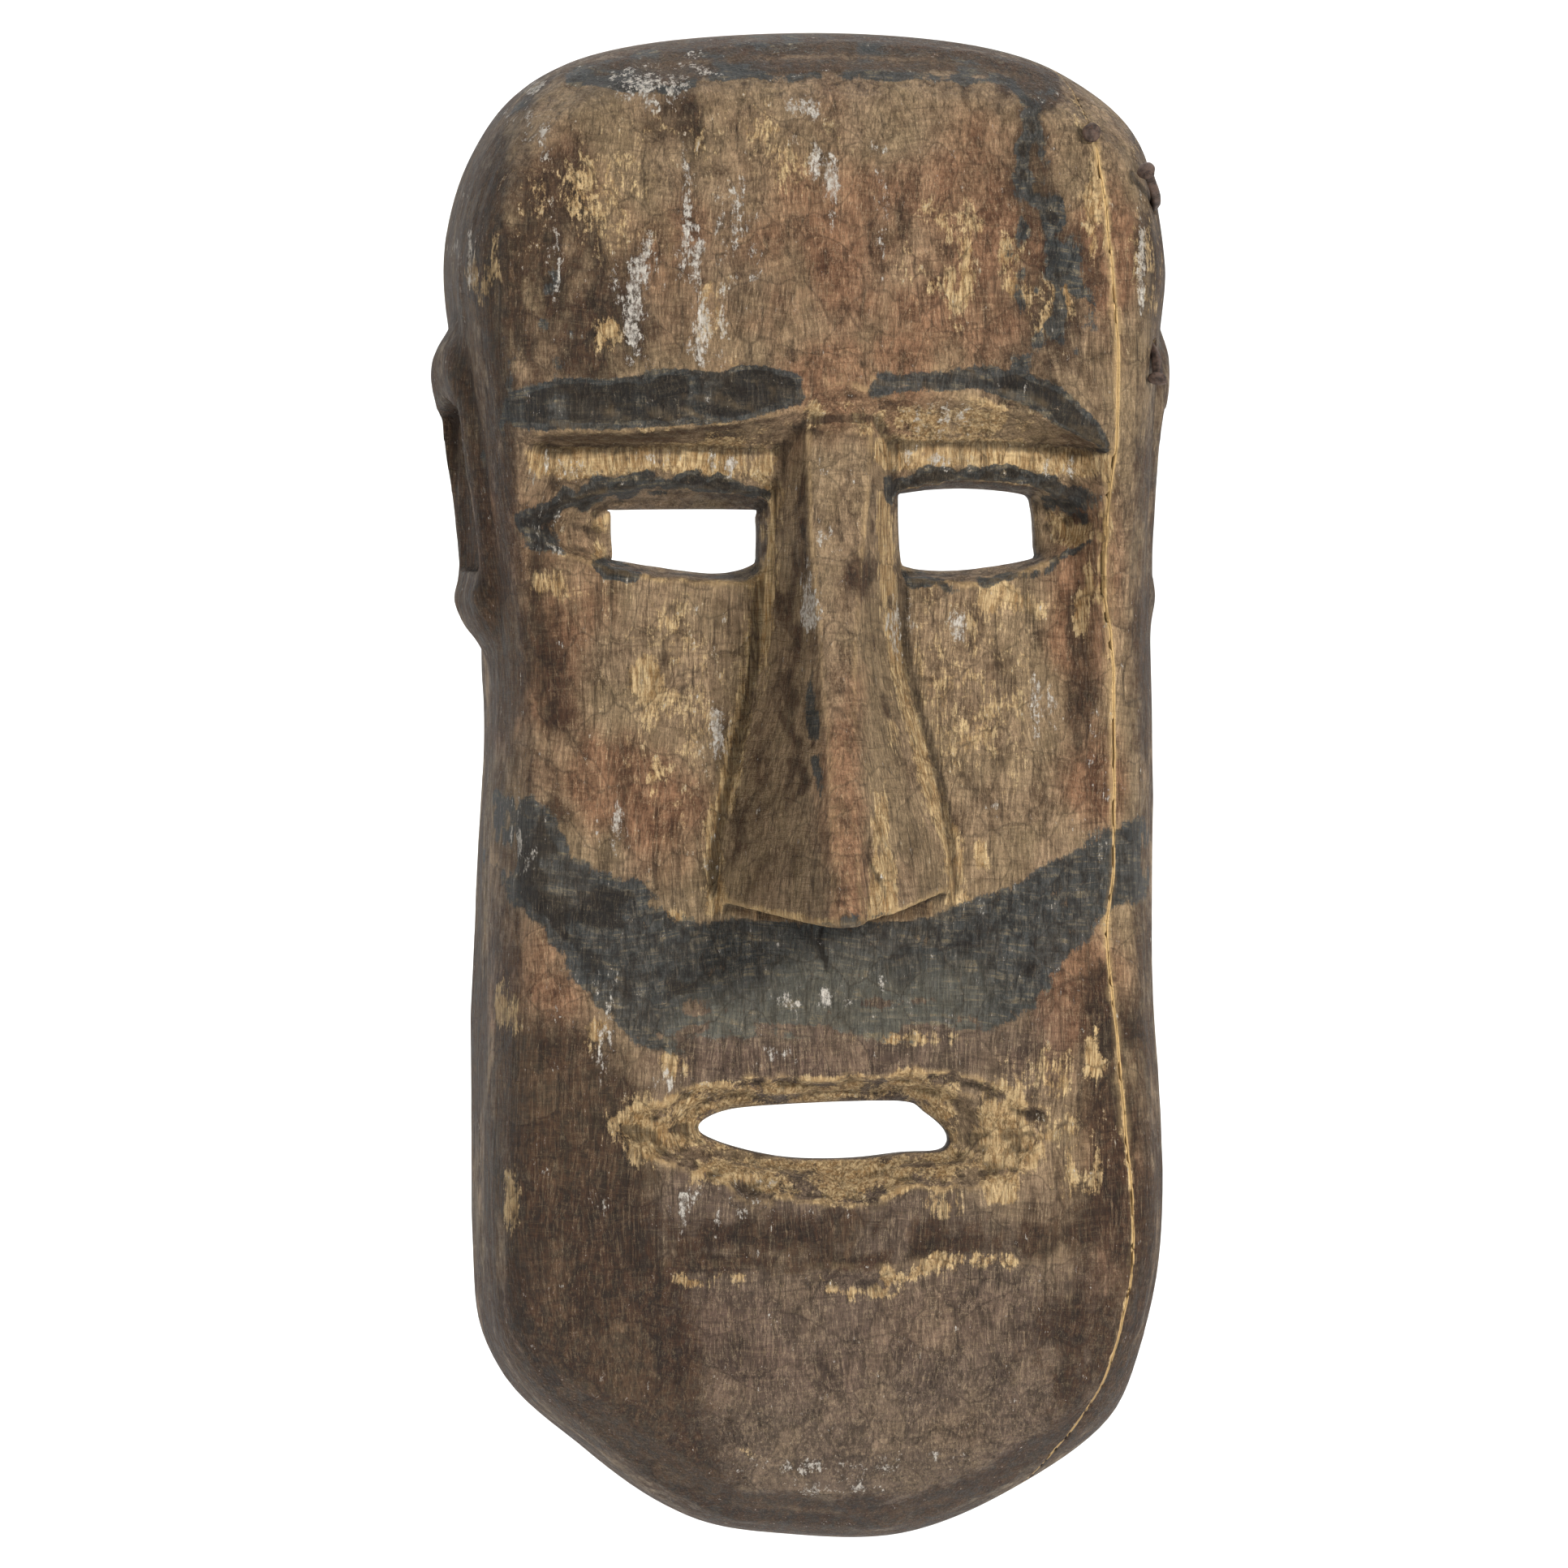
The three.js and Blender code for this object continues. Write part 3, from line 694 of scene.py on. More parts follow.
# A pale band along the chin's ridge: worn wood and a painted highlight.
CHIN_EDGE = [(13, -107.5), (22, -106), (31, -103.6), (39, -104.6)]
CHIN_SCRATCH = [(-34, -107.5), (-22, -109), (-8, -108.5), (4, -110.5), (16, -111.5)]
CHIN_SHADE = [(-42, -104.5), (-20, -105), (0, -105), (14, -103), (26, -100), (36, -101)]
LEFT_VALLEY = [(-13, 64), (-14, 42), (-17, 22), (-20.5, 4), (-25.5, -10), (-25.5, -27)]
RIGHT_VALLEY = [(11.5, 62), (13, 40), (17.5, 16), (22, 0), (27.5, -14), (28, -26)]
UPPER_EYE_LINES = [
    [(-67, 57), (-60, 61.5), (-50, 64.6), (-36, 66), (-24, 65.6), (-15, 63.6)],
    [(12, 64.5), (20, 66.2), (30, 67), (42, 66.4), (50, 65), (57, 61)],
]
LOWER_EYE_LINES = [
    [(-66, 55), (-60, 52), (-50, 48.5), (-40, 47)],
    [(18, 45.5), (30, 43.8), (42, 46.2), (52, 50), (58, 54)],
]
EYELIDS = [
    [(-64, 75), (-64, 67), (-40, 67.5), (-14, 66.5), (-13, 75), (-40, 75)],
    [(12, 76), (12, 69), (35, 69), (58, 67), (60, 72), (40, 75.5)],
]
# Smudges: the middle x and z of each, and its half width and half height.
CHALK = [
    (-38.5, 153, 7, 4.5), (-63, 147, 4, 9), (-6, 148, 4.5, 3.5), (-6, 142, 2.6, 3), (-30.5, 123, 2.6, 18),
    (-33, 116, 2, 8), (-20.5, 129, 2.6, 12), (-17, 116, 1.6, 6), (-43.5, 103, 2.0, 16), (-39, 112, 2, 8),
    (-28.5, 98, 2.2, 12), (-20, 102, 1.5, 10), (-46, 110, 1.6, 9), (0.5, 130, 1.4, 9), (-2, 136, 2.0, 4),
    (-60, 122, 1.3, 22), (11, 128, 1.4, 12), (-24, 120, 1.5, 8), (-78, 128, 3, 16), (24, 80, 6, 4),
    (-59, 57, 5, 4.5), (-58, 52, 5, 2.5), (-22, 70, 5, 2.5), (-40, 71, 6, 1.8), (-60, 69, 6, 4),
    (52, 69, 4, 2.5), (24, 71, 6, 2), (-26, 30, 3, 11), (-26, 13, 3.4, 11), (16.5, 35, 2.4, 7),
    (48, 18, 2.8, 7), (48, 10, 2.4, 5), (34, -8, 3, 7), (32, -21, 2.6, 8), (60, 0, 1.8, 14),
    (-27, -18, 2.4, 10), (-47, -10, 2.6, 6), (29, 34, 2, 5), (-58, -49, 3, 6), (-49, -50, 3.8, 11),
    (-30, -64, 7, 4), (-12, -59, 7, 1.6), (-28, -92, 18, 5), (-3, -150, 16, 1.6), (22, -148, 10, 1.5),
    (4, -155, 8, 2), (3.5, -8, 1.4, 3), (-3, 55, 1.8, 10), (-5, 38, 1.5, 9), (-66, -10, 3, 8),
    (-2, -47, 9, 2.2), (8, -44, 4, 3), (69, 112, 0.9, 20),
]
FIRM_CHALK = [(-30.5, 123, 2.2, 18), (-20.5, 129, 2.2, 11), (-6, 148, 3.6, 2.4), (-24, 99, 1.4, 9)]
BARE = [
    (-75, 112, 3, 8), (-48, 97, 4, 4), (-23, 98, 2.6, 13), (-27, 104, 2.4, 10), (30, 112, 13, 14),
    (47, 104, 7, 9), (57, 147, 7, 7), (58, 132, 3, 14), (-40, 133, 10, 2), (33, 122, 8, 3), (-57, 43, 7, 3.5),
    (-38, 24, 6, 5), (-37, 2, 3, 6), (9.5, -23, 5.5, 9), (8.5, -6, 2.4, 9), (13, 5, 2.5, 14),
    (-36, -29, 6, 1.2), (-14, -28.5, 10, 1.0), (27, -26, 7, 1.6), (-19.5, -51, 3.6, 3.2), (14, -55, 16, 1.6),
    (-38, -76, 10, 7), (40, -76, 13, 9), (55, -84, 5, 8), (-19, -146, 5, 1.3), (18, -86, 14, 2.4),
    (0, -66.5, 26, 2.2), (36, -88, 6, 4), (-69, -92, 2.2, 9), (28, 79.5, 20, 3.6), (-30, 77, 24, 1.4),
    (33, -16, 2.4, 4), (-72, -50, 4, 7), (-52, -54, 3, 4), (50, -63, 5, 5), (25, -91, 4, 3), (58, 40, 2, 8),
    (-2, 81, 7, 2.2), (-53, 51, 5, 4), (-54, 57, 6, 3), (57.6, 126, 0.5, 16), (53, 57, 7, 4), (40, 40, 10, 3),
    (56, -58, 5, 6), (-35, -60, 4, 4), (-24, -86, 12, 3), (0, -87, 20, 3),
]
OLIVE = [
    (30, 20, 20, 32), (-34, 18, 16, 34), (-20, 140, 30, 12), (45, -75, 14, 16), (70, 115, 6, 34),
    (-48, 128, 22, 16),
]
# Dark brown spots, mostly soiling; two are painted shade: the shadow under the tip of the nose at (0, -30.5)
# and the crease under the left brow at (-33, 75.6).
UMBER_AND_SHADOWS = [
    (46, 133, 5, 20), (49, 108, 8, 15), (-60, 118, 11, 26), (-72, 92, 8, 20), (40, 156, 20, 6),
    (0, 160, 40, 6), (-45, 158, 18, 5), (-33, 75.6, 34, 1.6), (-75, 76, 7, 24), (-62, 20, 7, 30),
    (-20, 2, 4, 14), (56, 24, 3, 18), (-10, 14, 2, 24), (56, -120, 12, 22), (-52, 100, 14, 14),
    (40, -100, 22, 5), (-10, -98, 40, 5), (-30, 145, 10, 10), (0, -30.5, 14, 1.6), (5, 45, 4, 6),
    (60, -60, 5, 30),
]
SMEARS = [(45, 132, 4.5, 20), (48, 122, 4, 12), (47, 105, 9, 15), (-60, 102, 5, 10)]
RED = [
    (10, 118, 36, 36), (0, 90, 17, 9), (8, 95, 9, 7), (1.5, 10, 5, 52), (-62, 28, 12, 34), (-50, 2, 9, 13),
    (57, 30, 7, 28), (57, -2, 7, 15), (56, -48, 10, 15), (-62, -50, 9, 18), (0, -61, 40, 3.5),
    (-60, -116, 15, 15), (-10, -120, 50, 12), (62, -90, 7, 32), (-58, 132, 7, 9), (-36, -8, 9, 12),
    (-72, 50, 5, 22), (-35, 120, 13, 11), (60, 118, 6, 22), (-70, -60, 8, 30),
]
PURPLE = [(0, -125, 66, 42), (-20, -94, 40, 10), (2, -58, 42, 20)]
TEMPLE = [(-74, 78, 5, 18), (-70, 90, 4, 12)]
BLUE_SPOTS = [(-62.5, 54, 5, 3.4), (53, 62.5, 6, 3), (-5, 10, 1.4, 14)]


def paint_maps(x, z):
    """The six kinds of paint and wear on the face, with painted shade among them, over x and z."""
    here = x, z
    wobbly = x + 2.2 * rough(x / 7, z / 9, 0, 4), z + 2.2 * rough(x / 8 + 9, z / 7, 1, 4)
    near = 0.5 * (x + wobbly[0]), 0.5 * (z + wobbly[1])
    frayed = wobbly[0] + 1.2 * rough(x / 2.5, z / 3, 2, 3), wobbly[1] + 1.5 * rough(x / 2.2, z / 4, 3, 3)
    blotch, streak = rough(x / 16, z / 20, 2, 4), rough(x / 2.2, z / 26, 3, 4)
    patch, lines = rough(x / 5, z / 9, 1, 4), rough(x / 1.1, z / 14, 2, 3)
    crown = region(near, CROWN_BAND, 0.8)
    smears = ovals(wobbly, SMEARS)
    mouth = ramp(inside_distance(*wobbly, MOUTH_LENS), -3, 2)
    ledge = rough(x / 12, z / 2.2, 3, 3)

    brow_tone = 0.95 + 0.3 * patch
    faint_end = 1 - 0.45 * ramp(x, 40, 22) * ramp(z, 87, 91)
    fade = 0.92 + 0.14 * ramp(x, -20, -60) - 0.16 * ramp(z, -42, -55) * ramp(x, 45, 20) + 0.22 * patch
    scraped = 0.5 + 1.6 * ramp(z, -42, -56) * ramp(np.abs(x), 44, 30)
    scraped = scraped * clamp(rough(x / 10, z / 1.9, 3, 4) - 0.10)
    smudge = 0.42 + 0.14 * ramp(x, 20, 40) + 1.0 * patch + 0.9 * rough(x / 3, z / 4, 0, 3)
    blue = strongest(
        1.15 * region(near, LEFT_BROW, 1.3) * brow_tone,
        1.1 * region(near, RIGHT_BROW, 1.3) * faint_end * brow_tone,
        region(frayed, MOUSTACHE, 2.6) * (fade - scraped),
        *[stroke(frayed, line, 2.1) * (1.0 + 0.6 * patch + 0.3 * streak) for line in UPPER_EYE_LINES],
        *[stroke(frayed, line, 1.3) * (0.62 + 0.6 * patch + 0.3 * streak) for line in LOWER_EYE_LINES],
        ovals(frayed, TEMPLE) * (0.52 + 0.5 * patch),
        0.9 * ovals(near, BLUE_SPOTS),
        smears * smudge,
        crown * (0.38 + 0.5 * patch + 0.6 * rough(x / 9 + z / 5, z / 7 - x / 10, 2, 3)),
        stroke(near, CROWN_BRINK, 1.3) * (0.9 + 0.8 * patch),
    )
    red = clamp(ovals(here, RED) * (0.75 + 0.8 * blotch) + 0.25 * blotch)
    # Darkened edges: painted shade round the chin's rim and along the left and right edges, where the wood
    # rolls back; darker towards the lower left and lower right; the crown band; and the painted shade line
    # along the chin's ridge.
    dark_edges_and_shade = [
        (ramp(-wobbly[0] - 0.25 * wobbly[1], 48, 74) * ramp(-wobbly[1], 35, 70), 1.25),
        (ramp(-wobbly[0], 63, 74), 1.0),
        (ramp(wobbly[0], 62, 72), 0.7),
        (ramp(wobbly[0], 38, 64) * ramp(-z, 10, 60), 0.75),
        (ramp(inside_distance(*wobbly, OUTLINE), 15, 7) * ramp(-z, 90, 125), 1.4),
        (crown, 1.3),
        (stroke(near, CHIN_SHADE, 2.4), 0.8),
    ]
    # The dark brown layer: soiling, together with painted shade on the edges, along the crease under the left
    # brow and under the nose.
    umber_and_shade = clamp(strongest(
        ovals(wobbly, UMBER_AND_SHADOWS) * (0.75 + 0.9 * patch + 0.4 * streak),
        *[part * (amount + 0.5 * patch + 0.2 * streak) for part, amount in dark_edges_and_shade],
        smears * (0.9 + 0.5 * patch),
        0.5 * clamp(mouth * (0.1 - 1.4 * ledge)),
    ))
    swayed = x + 0.8 * streak, z
    chalk = clamp(ovals(swayed, CHALK) * (0.30 + 0.6 * streak + 0.9 * lines + 0.5 * patch))
    hatch = clamp(1.6 * rough(x / 3 + z / 4, z / 7 - x / 7, 3, 3) + 0.12)
    chalk = strongest(
        chalk * (1 - 0.25 * ramp(-z, 70, 84)),
        ovals(swayed, FIRM_CHALK) * clamp(0.52 + 0.8 * lines + 0.4 * patch),
        crown * hatch * ramp(blotch + 0.2, -0.1, 0.3),
    )
    lids = strongest(*[region(here, outline, 1.5) for outline in EYELIDS])
    olive = ovals(here, OLIVE)
    bare = clamp(strongest(
        ovals(wobbly, BARE) * (0.62 - 0.10 * ramp(z, 88, 92) + 0.5 * streak + 0.8 * patch),
        lids * (0.88 + 0.15 * streak + 0.8 * patch),
        # The chin's ridge: worn wood and a painted highlight.
        stroke((near[0], frayed[1]), CHIN_EDGE, 2.2) * (0.64 + 0.6 * patch),
        stroke((near[0], frayed[1]), CHIN_SCRATCH, 1.4) * (0.42 + 0.6 * patch),
        stroke(here, LEFT_VALLEY, 2.8) * (0.85 + 0.5 * streak),
        0.9 * stroke(here, RIGHT_VALLEY, 2.4) * (0.85 + 0.5 * streak),
        olive * (0.40 + 0.25 * patch),
        mouth * (0.53 - 0.10 * ramp(x, -30, 10) + 0.6 * ledge + 0.5 * patch),
    ))
    purple = clamp(ovals(here, PURPLE) * (1.0 + 0.5 * blotch))
    return blue, red, umber_and_shade, chalk, bare, purple


def paint_wood(obj, points, quads, field):
    """Stores the paint, the wear, the painted shade and highlight, and the distance to the split on a wood
    piece's points.
    """
    x, depth, z = points.T
    into = slope(field, points, 1.0)
    into /= np.maximum(np.linalg.norm(into, axis=1, keepdims=True), 1e-6)
    facing = -into[:, 1]
    pairs = side_pairs(quads)
    # How far each point lies below the smoothed surface round it, over a short and a long reach.
    fine, broad = [
        ((points - neighbour_mean(points, pairs, rounds)) * into).sum(1) for rounds in (3, 24)
    ]
    fine = neighbour_mean(fine, pairs)
    # The hollow, the holes' walls and the back rim are raw; the sides are darkened with dark brown, as soiling
    # and painted shade on the walls turned away from the front.
    edge, behind = sample(EDGE, points), sample(FRONT, points) - depth
    back = clamp((1.2 - depth) / 0.6)
    raw = np.maximum(ramp(behind, 4.5, 8) * ramp(edge, 7, 9), back)
    on_split = clamp((np.abs(into[:, 0]) - 0.75) * 6) * clamp(1.5 - np.abs(x - split_offset(z, depth)) / 0.4)
    blue, red, umber_and_shade, chalk, bare, purple = [sample(image, points) for image in PAINT]
    side_patch = rough(depth / 14 + 3, z / 30, 1, 4)
    side = ramp(0.42 + 0.35 * rough(depth / 6, z / 8, 3, 4) - facing, 0, 0.3) * (1 - raw)
    blue = blue * (1 - side) * (1 - raw)
    chalk = chalk * (1 - 0.5 * side) * (1 - raw)
    # Walls turned away from the front get dark brown: painted shade together with soiling.
    umber_and_shade = clamp(umber_and_shade * (1 - side) + side * (0.72 + 0.6 * side_patch)) * (1 - raw)
    bare = clamp(bare * (1 - side) + 0.2 * side * clamp(0.3 - side_patch))
    bare = np.maximum(bare, on_split)
    inner = ramp(edge, 8, 14)
    # Sharp ridges turn pale: rubbed wood together with a painted highlight.
    bare = clamp(bare + clamp(-fine * 7 - 0.35) * 0.5 * inner * (1 - clamp(blue))) * (1 - raw)
    # Curvature as painted light: above 0.5 in the hollows, where the material paints soiling and shade, and
    # below 0.5 on the ridges, where it paints a pale highlight with polish.
    grime_shade_and_sheen = np.where(broad > 0, 0.22, 0.10 * inner) * broad + np.where(fine > 0, 2.6, 1.6 * inner) * fine
    calm = ramp(np.abs(x + 3), 49, 54) * ramp(40 - np.abs(z - 20), 0, 8) * (facing > 0.3)
    grime_shade_and_sheen = np.minimum(clamp(0.5 + np.where(grime_shade_and_sheen > 0, 1 - 0.7 * calm, 1) * grime_shade_and_sheen), 0.76)
    distance = np.abs(x - split_offset(z, depth))
    distance = np.where(facing > 0.1, distance, 9) + 9 * ramp(z, 139, 146)
    values = {
        "paint": np.stack([blue, red * (1 - raw), umber_and_shade, chalk], 1),
        "wear_and_shading": np.stack([bare, raw, grime_shade_and_sheen, purple * (1 - side) * (1 - raw)], 1),
    }
    for name, colours in values.items():
        layer = obj.data.attributes.new(name, "FLOAT_COLOR", "POINT")
        layer.data.foreach_set("color", colours.astype(np.float32).ravel())
    layer = obj.data.attributes.new("split", "FLOAT", "POINT")
    layer.data.foreach_set("value", distance.astype(np.float32))


# ---- Materials ----
def linear(code):
    """A hex colour as linear red, green, blue and alpha."""
    parts = [int(code[i:i + 2], 16) / 255 for i in (1, 3, 5)]
    return (*[c / 12.92 if c <= 0.04045 else ((c + 0.055) / 1.055) ** 2.4 for c in parts], 1)


class Nodes:
    """Short names for the shader nodes of one material. A value is a number, a colour or a socket."""

    def __init__(self, name):
        self.material = bpy.data.materials.new(name)
        self.material.use_nodes = True
        self.tree = self.material.node_tree
        self.shader = self.tree.nodes["Principled BSDF"]
        place = self.tree.nodes.new("ShaderNodeTexCoord")
        self.place = self.scaled(place.outputs["Object"], (1000, 1000, 1000))

    def put(self, socket, value):
        if isinstance(value, bpy.types.NodeSocket):
            self.tree.links.new(value, socket)
        else:
            socket.default_value = linear(value) if isinstance(value, str) else value

    def add(self, kind, *values, **settings):
        """The outputs of a new node whose inputs take the values in turn. Sockets not in use are skipped."""
        node = self.tree.nodes.new("ShaderNode" + kind)
        for key, value in settings.items():
            setattr(node, key, value)
        for socket, value in zip([s for s in node.inputs if s.enabled], values):
            self.put(socket, value)
        return [s for s in node.outputs if s.enabled]

    def scaled(self, vector, scale, shift=(0, 0, 0)):
        return self.add("VectorMath", vector, scale, shift, operation="MULTIPLY_ADD")[0]

    def noise(self, scale, detail, roughness, distortion=0.0):
        vector = self.scaled(self.place, scale)
        return self.add("TexNoise", vector, 1.0, detail, roughness, 2.0, distortion)[0]

    def math(self, operation, a, b=0.0, c=0.0):
        return self.add("Math", a, b, c, operation=operation)[0]

    def total(self, *terms):
        """The sum of (weight, value) pairs."""
        result = self.math("MULTIPLY", terms[0][1], terms[0][0])
        for weight, value in terms[1:]:
            result = self.math("MULTIPLY_ADD", value, weight, result)
        return result

    def step(self, value, low, high, to_low=0.0, to_high=1.0):
        return self.add("MapRange", value, low, high, to_low, to_high, interpolation_type="SMOOTHSTEP")[0]

    def mix(self, share, a, b, kind="MIX"):
        return self.add("Mix", share, a, b, data_type="RGBA", blend_type=kind)[0]

    def layered(self, colour, *layers):
        """A colour with (share, colour) layers laid over it in turn."""
        for share, over in layers:
            colour = self.mix(share, colour, over)
        return colour

    def attribute(self, name):
        """A point attribute's three channels, its alpha and its plain value."""
        colour, _, fac, alpha = self.add("Attribute", attribute_name=name)
        return (*self.add("SeparateColor", colour), alpha, fac)

    def finish(self, colour, metallic, roughness, height, relief, strength=1.0):
        """Links the looks to the shader, with a bump of a relief in metres at the given height."""
        bump = self.tree.nodes.new("ShaderNodeBump")
        for name, value in (("Strength", strength), ("Distance", relief), ("Height", height)):
            self.put(bump.inputs[name], value)
        for name, value in (("Base Color", colour), ("Metallic", metallic), ("Roughness", roughness),
                            ("Normal", bump.outputs[0])):
            self.put(self.shader.inputs[name], value)
        return self.material


def wood_material(name):
    n = Nodes(name)
    blue, red, umber_and_shade, chalk, _ = n.attribute("paint")
    # The third channel of the second attribute is curvature: soiling and painted shade in the hollows, painted
    # highlight on the ridges.
    bare, raw, hollow_grime_shade_sheen, purple, _ = n.attribute("wear_and_shading")
    split = n.attribute("split")[4]

    # Each cut of the adze is a cell with its own tint and its own lie of the fibres.
    sway = n.add("TexNoise", n.scaled(n.place, (0.11, 0.11, 0.08)), 1.0)[1]
    swayed = n.scaled(sway, (0.9, 0.9, 0.9), n.scaled(n.place, (1 / 11, 1 / 11, 1 / 14)))
    cut_middle, cut_colour = n.add("TexVoronoi", swayed, 1.0, feature="F1")[:2]
    cut_edge = n.add("TexVoronoi", swayed, 1.0, feature="DISTANCE_TO_EDGE")[0]
    lie, tint, _ = n.add("SeparateColor", cut_colour)
    turn = n.tree.nodes.new("ShaderNodeVectorRotate")
    turn.rotation_type = "Y_AXIS"
    n.put(turn.inputs["Vector"], n.place)
    n.put(turn.inputs["Angle"], n.math("MULTIPLY_ADD", lie, 0.36, -0.18))
    n.place, straight = turn.outputs[0], n.place
    fan = n.noise((1.5, 1.5, 0.10), 5, 0.65, distortion=0.4)
    chatter = n.noise((0.09, 0.09, 0.9), 5, 0.65, distortion=0.8)
    n.place = straight

    grain = n.noise((0.62, 0.62, 0.020), 5, 0.65, distortion=0.3)
    fibre = n.noise((2.4, 2.4, 0.16), 4, 0.6, distortion=0.6)
    blotch = n.noise((0.05, 0.05, 0.035), 5, 0.6)
    mottle = n.noise((0.17, 0.17, 0.11), 9, 0.74, distortion=0.4)
    speck = n.noise((1.2, 1.2, 0.8), 6, 0.75)
    crumb = n.noise((0.42, 0.42, 0.24), 8, 0.75, distortion=0.3)
    flake = n.total((0.52, crumb), (0.12, fan), (0.12, fibre), (0.24, speck))

    def times(a, b):
        return n.math("MULTIPLY", a, b)

    def ragged(weight, amount, soft=0.05):
        """Breaks a soft weight up into flakes that follow the grain."""
        pushed = n.math("MULTIPLY_ADD", n.math("SUBTRACT", flake, 0.5), amount / 0.07, weight)
        return n.step(pushed, 0.5 - soft, 0.5 + soft)

    def hairlines(value, level, width, strength):
        """Thin lines where a noise crosses a level."""
        return n.step(n.math("ABSOLUTE", n.math("SUBTRACT", value, level)), 0.0, width, strength, 0.0)

    # The paint, from the old brown wash up to the blue-black and the wood that it has worn off.
    rust_red = n.mix(n.step(mottle, 0.36, 0.62), "#583622", "#9d7152")
    plum = n.mix(n.step(mottle, 0.34, 0.66), "#453830", "#6f5c50")
    dirt_and_shade_colour = n.mix(n.step(crumb, 0.4, 0.6), "#1a0f08", "#4a3120")
    timber = n.mix(n.step(n.total((0.5, fan), (0.5, crumb)), 0.40, 0.60), "#a07947", "#dcbe8c")
    soot = n.layered(
        n.mix(n.step(crumb, 0.36, 0.66), "#1d2021", "#4e5251"),
        (n.step(purple, 0.3, 0.9, 0, 0.34), "#87826f"),
        (times(n.step(chatter, 0.50, 0.62), n.step(crumb, 0.46, 0.60, 0, 0.7)), "#857659"),
        (n.step(blue, 0.94, 1.06, 0, 0.85), "#131312"),
    )
    inner = n.mix(n.step(grain, 0.35, 0.65), "#4c3826", "#8b6d4b")
    inner = n.mix(n.step(crumb, 0.48, 0.66, 0, 0.6), inner, "#3b2c20")
    # The dark brown layer: soiling, with painted shade on the edges, the side walls, under the left brow and
    # under the nose.
    grime_and_shade = ragged(umber_and_shade, 0.22, 0.3)
    painted = times(ragged(blue, 0.16, 0.08), n.step(crumb, 0.70, 0.58, 0.45, 0.96))
    wash = n.layered(
        n.mix(n.step(mottle, 0.34, 0.62), "#5a4430", "#a08567"),
        (n.step(blotch, 0.42, 0.60, 0, 0.5), "#927d5c"),
        (n.step(red, 0.1, 0.9, 0, 0.85), rust_red),
        (n.step(purple, 0.2, 0.8, 0, 0.85), plum),
        (times(grime_and_shade, 0.90), dirt_and_shade_colour),
        (times(ragged(bare, 0.24, 0.12), 0.85), timber),
        (painted, soot),
        (raw, inner),
    )

    # Tinted cuts, the grain and fine scratches.
    plain = n.math("SUBTRACT", 1.0, n.math("MAXIMUM", times(painted, 0.75), times(grime_and_shade, 0.5)))
    thin = n.math("SUBTRACT", 1.0, times(painted, 0.5))
    wash = n.layered(
        wash,
        (n.step(tint, 0.0, 0.5, 0.14, 0.0), "#2e2117"),
        (times(n.step(tint, 0.5, 1.0, 0.0, 0.10), plain), "#c7a880"),
        (times(n.step(grain, 0.36, 0.46, 0.5, 0.0), thin), "#261a11"),
        (times(n.step(fibre, 0.56, 0.68, 0.0, 0.20), plain), "#cdb088"),
        (times(n.step(fibre, 0.44, 0.34, 0.0, 0.28), thin), "#271b12"),
        (hairlines(grain, 0.50, 0.010, 0.55), "#20150d"),
        (hairlines(fan, 0.45, 0.016, 0.50), "#20150d"),
        (times(hairlines(fan, 0.57, 0.014, 0.45), plain), "#d6bd97"),
        (n.step(chatter, 0.33, 0.44, 0.22, 0.0), "#2e241a"),
        (times(hairlines(chatter, 0.56, 0.02, 0.14), plain), "#cdb285"),
        (times(n.step(speck, 0.60, 0.72, 0.0, 0.4), plain), "#cdb08a"),
        (n.step(speck, 0.40, 0.30, 0.0, 0.5), "#231a13"),
        (n.step(cut_edge, 0.035, 0.0, 0.0, 0.35), "#271c13"),
    )
    weave = n.step(n.total((0.40, fibre), (0.25, fan), (0.35, speck)), 0.42, 0.58)
    wash = n.mix(0.14, wash, n.mix(weave, "#202020", "#dcdcdc"), "OVERLAY")

    # Grime and painted shade in the hollows, painted highlight and polish on the ridges, loose chalk and the
    # pale break along the split.
    speckled_grime_shade_sheen = n.math("MULTIPLY_ADD", n.math("SUBTRACT", crumb, 0.5), 0.5, hollow_grime_shade_sheen)
    white = times(ragged(chalk, 0.34, 0.12), n.step(speck, 0.42, 0.58, 0.2, 0.95))
    line = n.math("MULTIPLY_ADD", speck, 0.4, split)
    wash = n.layered(
        wash,
        (n.step(speckled_grime_shade_sheen, 0.54, 0.80, 0, 0.72), "#1a110a"),
        (times(n.step(speckled_grime_shade_sheen, 0.44, 0.15, 0, 0.5), plain), "#c9a878"),
        (white, n.mix(fibre, "#b8ac9c", "#f0e9de")),
        (n.step(line, 0.66, 0.42, 0, 0.92), "#dcb67c"),
    )
    dull = n.math("ADD", n.step(blue, 0.3, 0.8, 0.0, -0.08), n.step(chalk, 0.4, 0.9, 0.0, 0.12))
    roughness = n.math("ADD", n.step(crumb, 0.35, 0.65, 0.55, 0.78), dull)
    n.shader.inputs["Specular IOR Level"].default_value = 0.28
    height = n.total(
        (0.50, n.step(grain, 0.30, 0.55)), (0.45, n.step(fan, 0.30, 0.62)), (0.30, n.step(chatter, 0.32, 0.55)),
        (0.9, crumb), (0.5, speck), (-0.9, cut_middle), (0.3, mottle), (0.25, white), (0.3, fibre),
    )
    return n.finish(wash, 0.0, roughness, height, 0.0009)


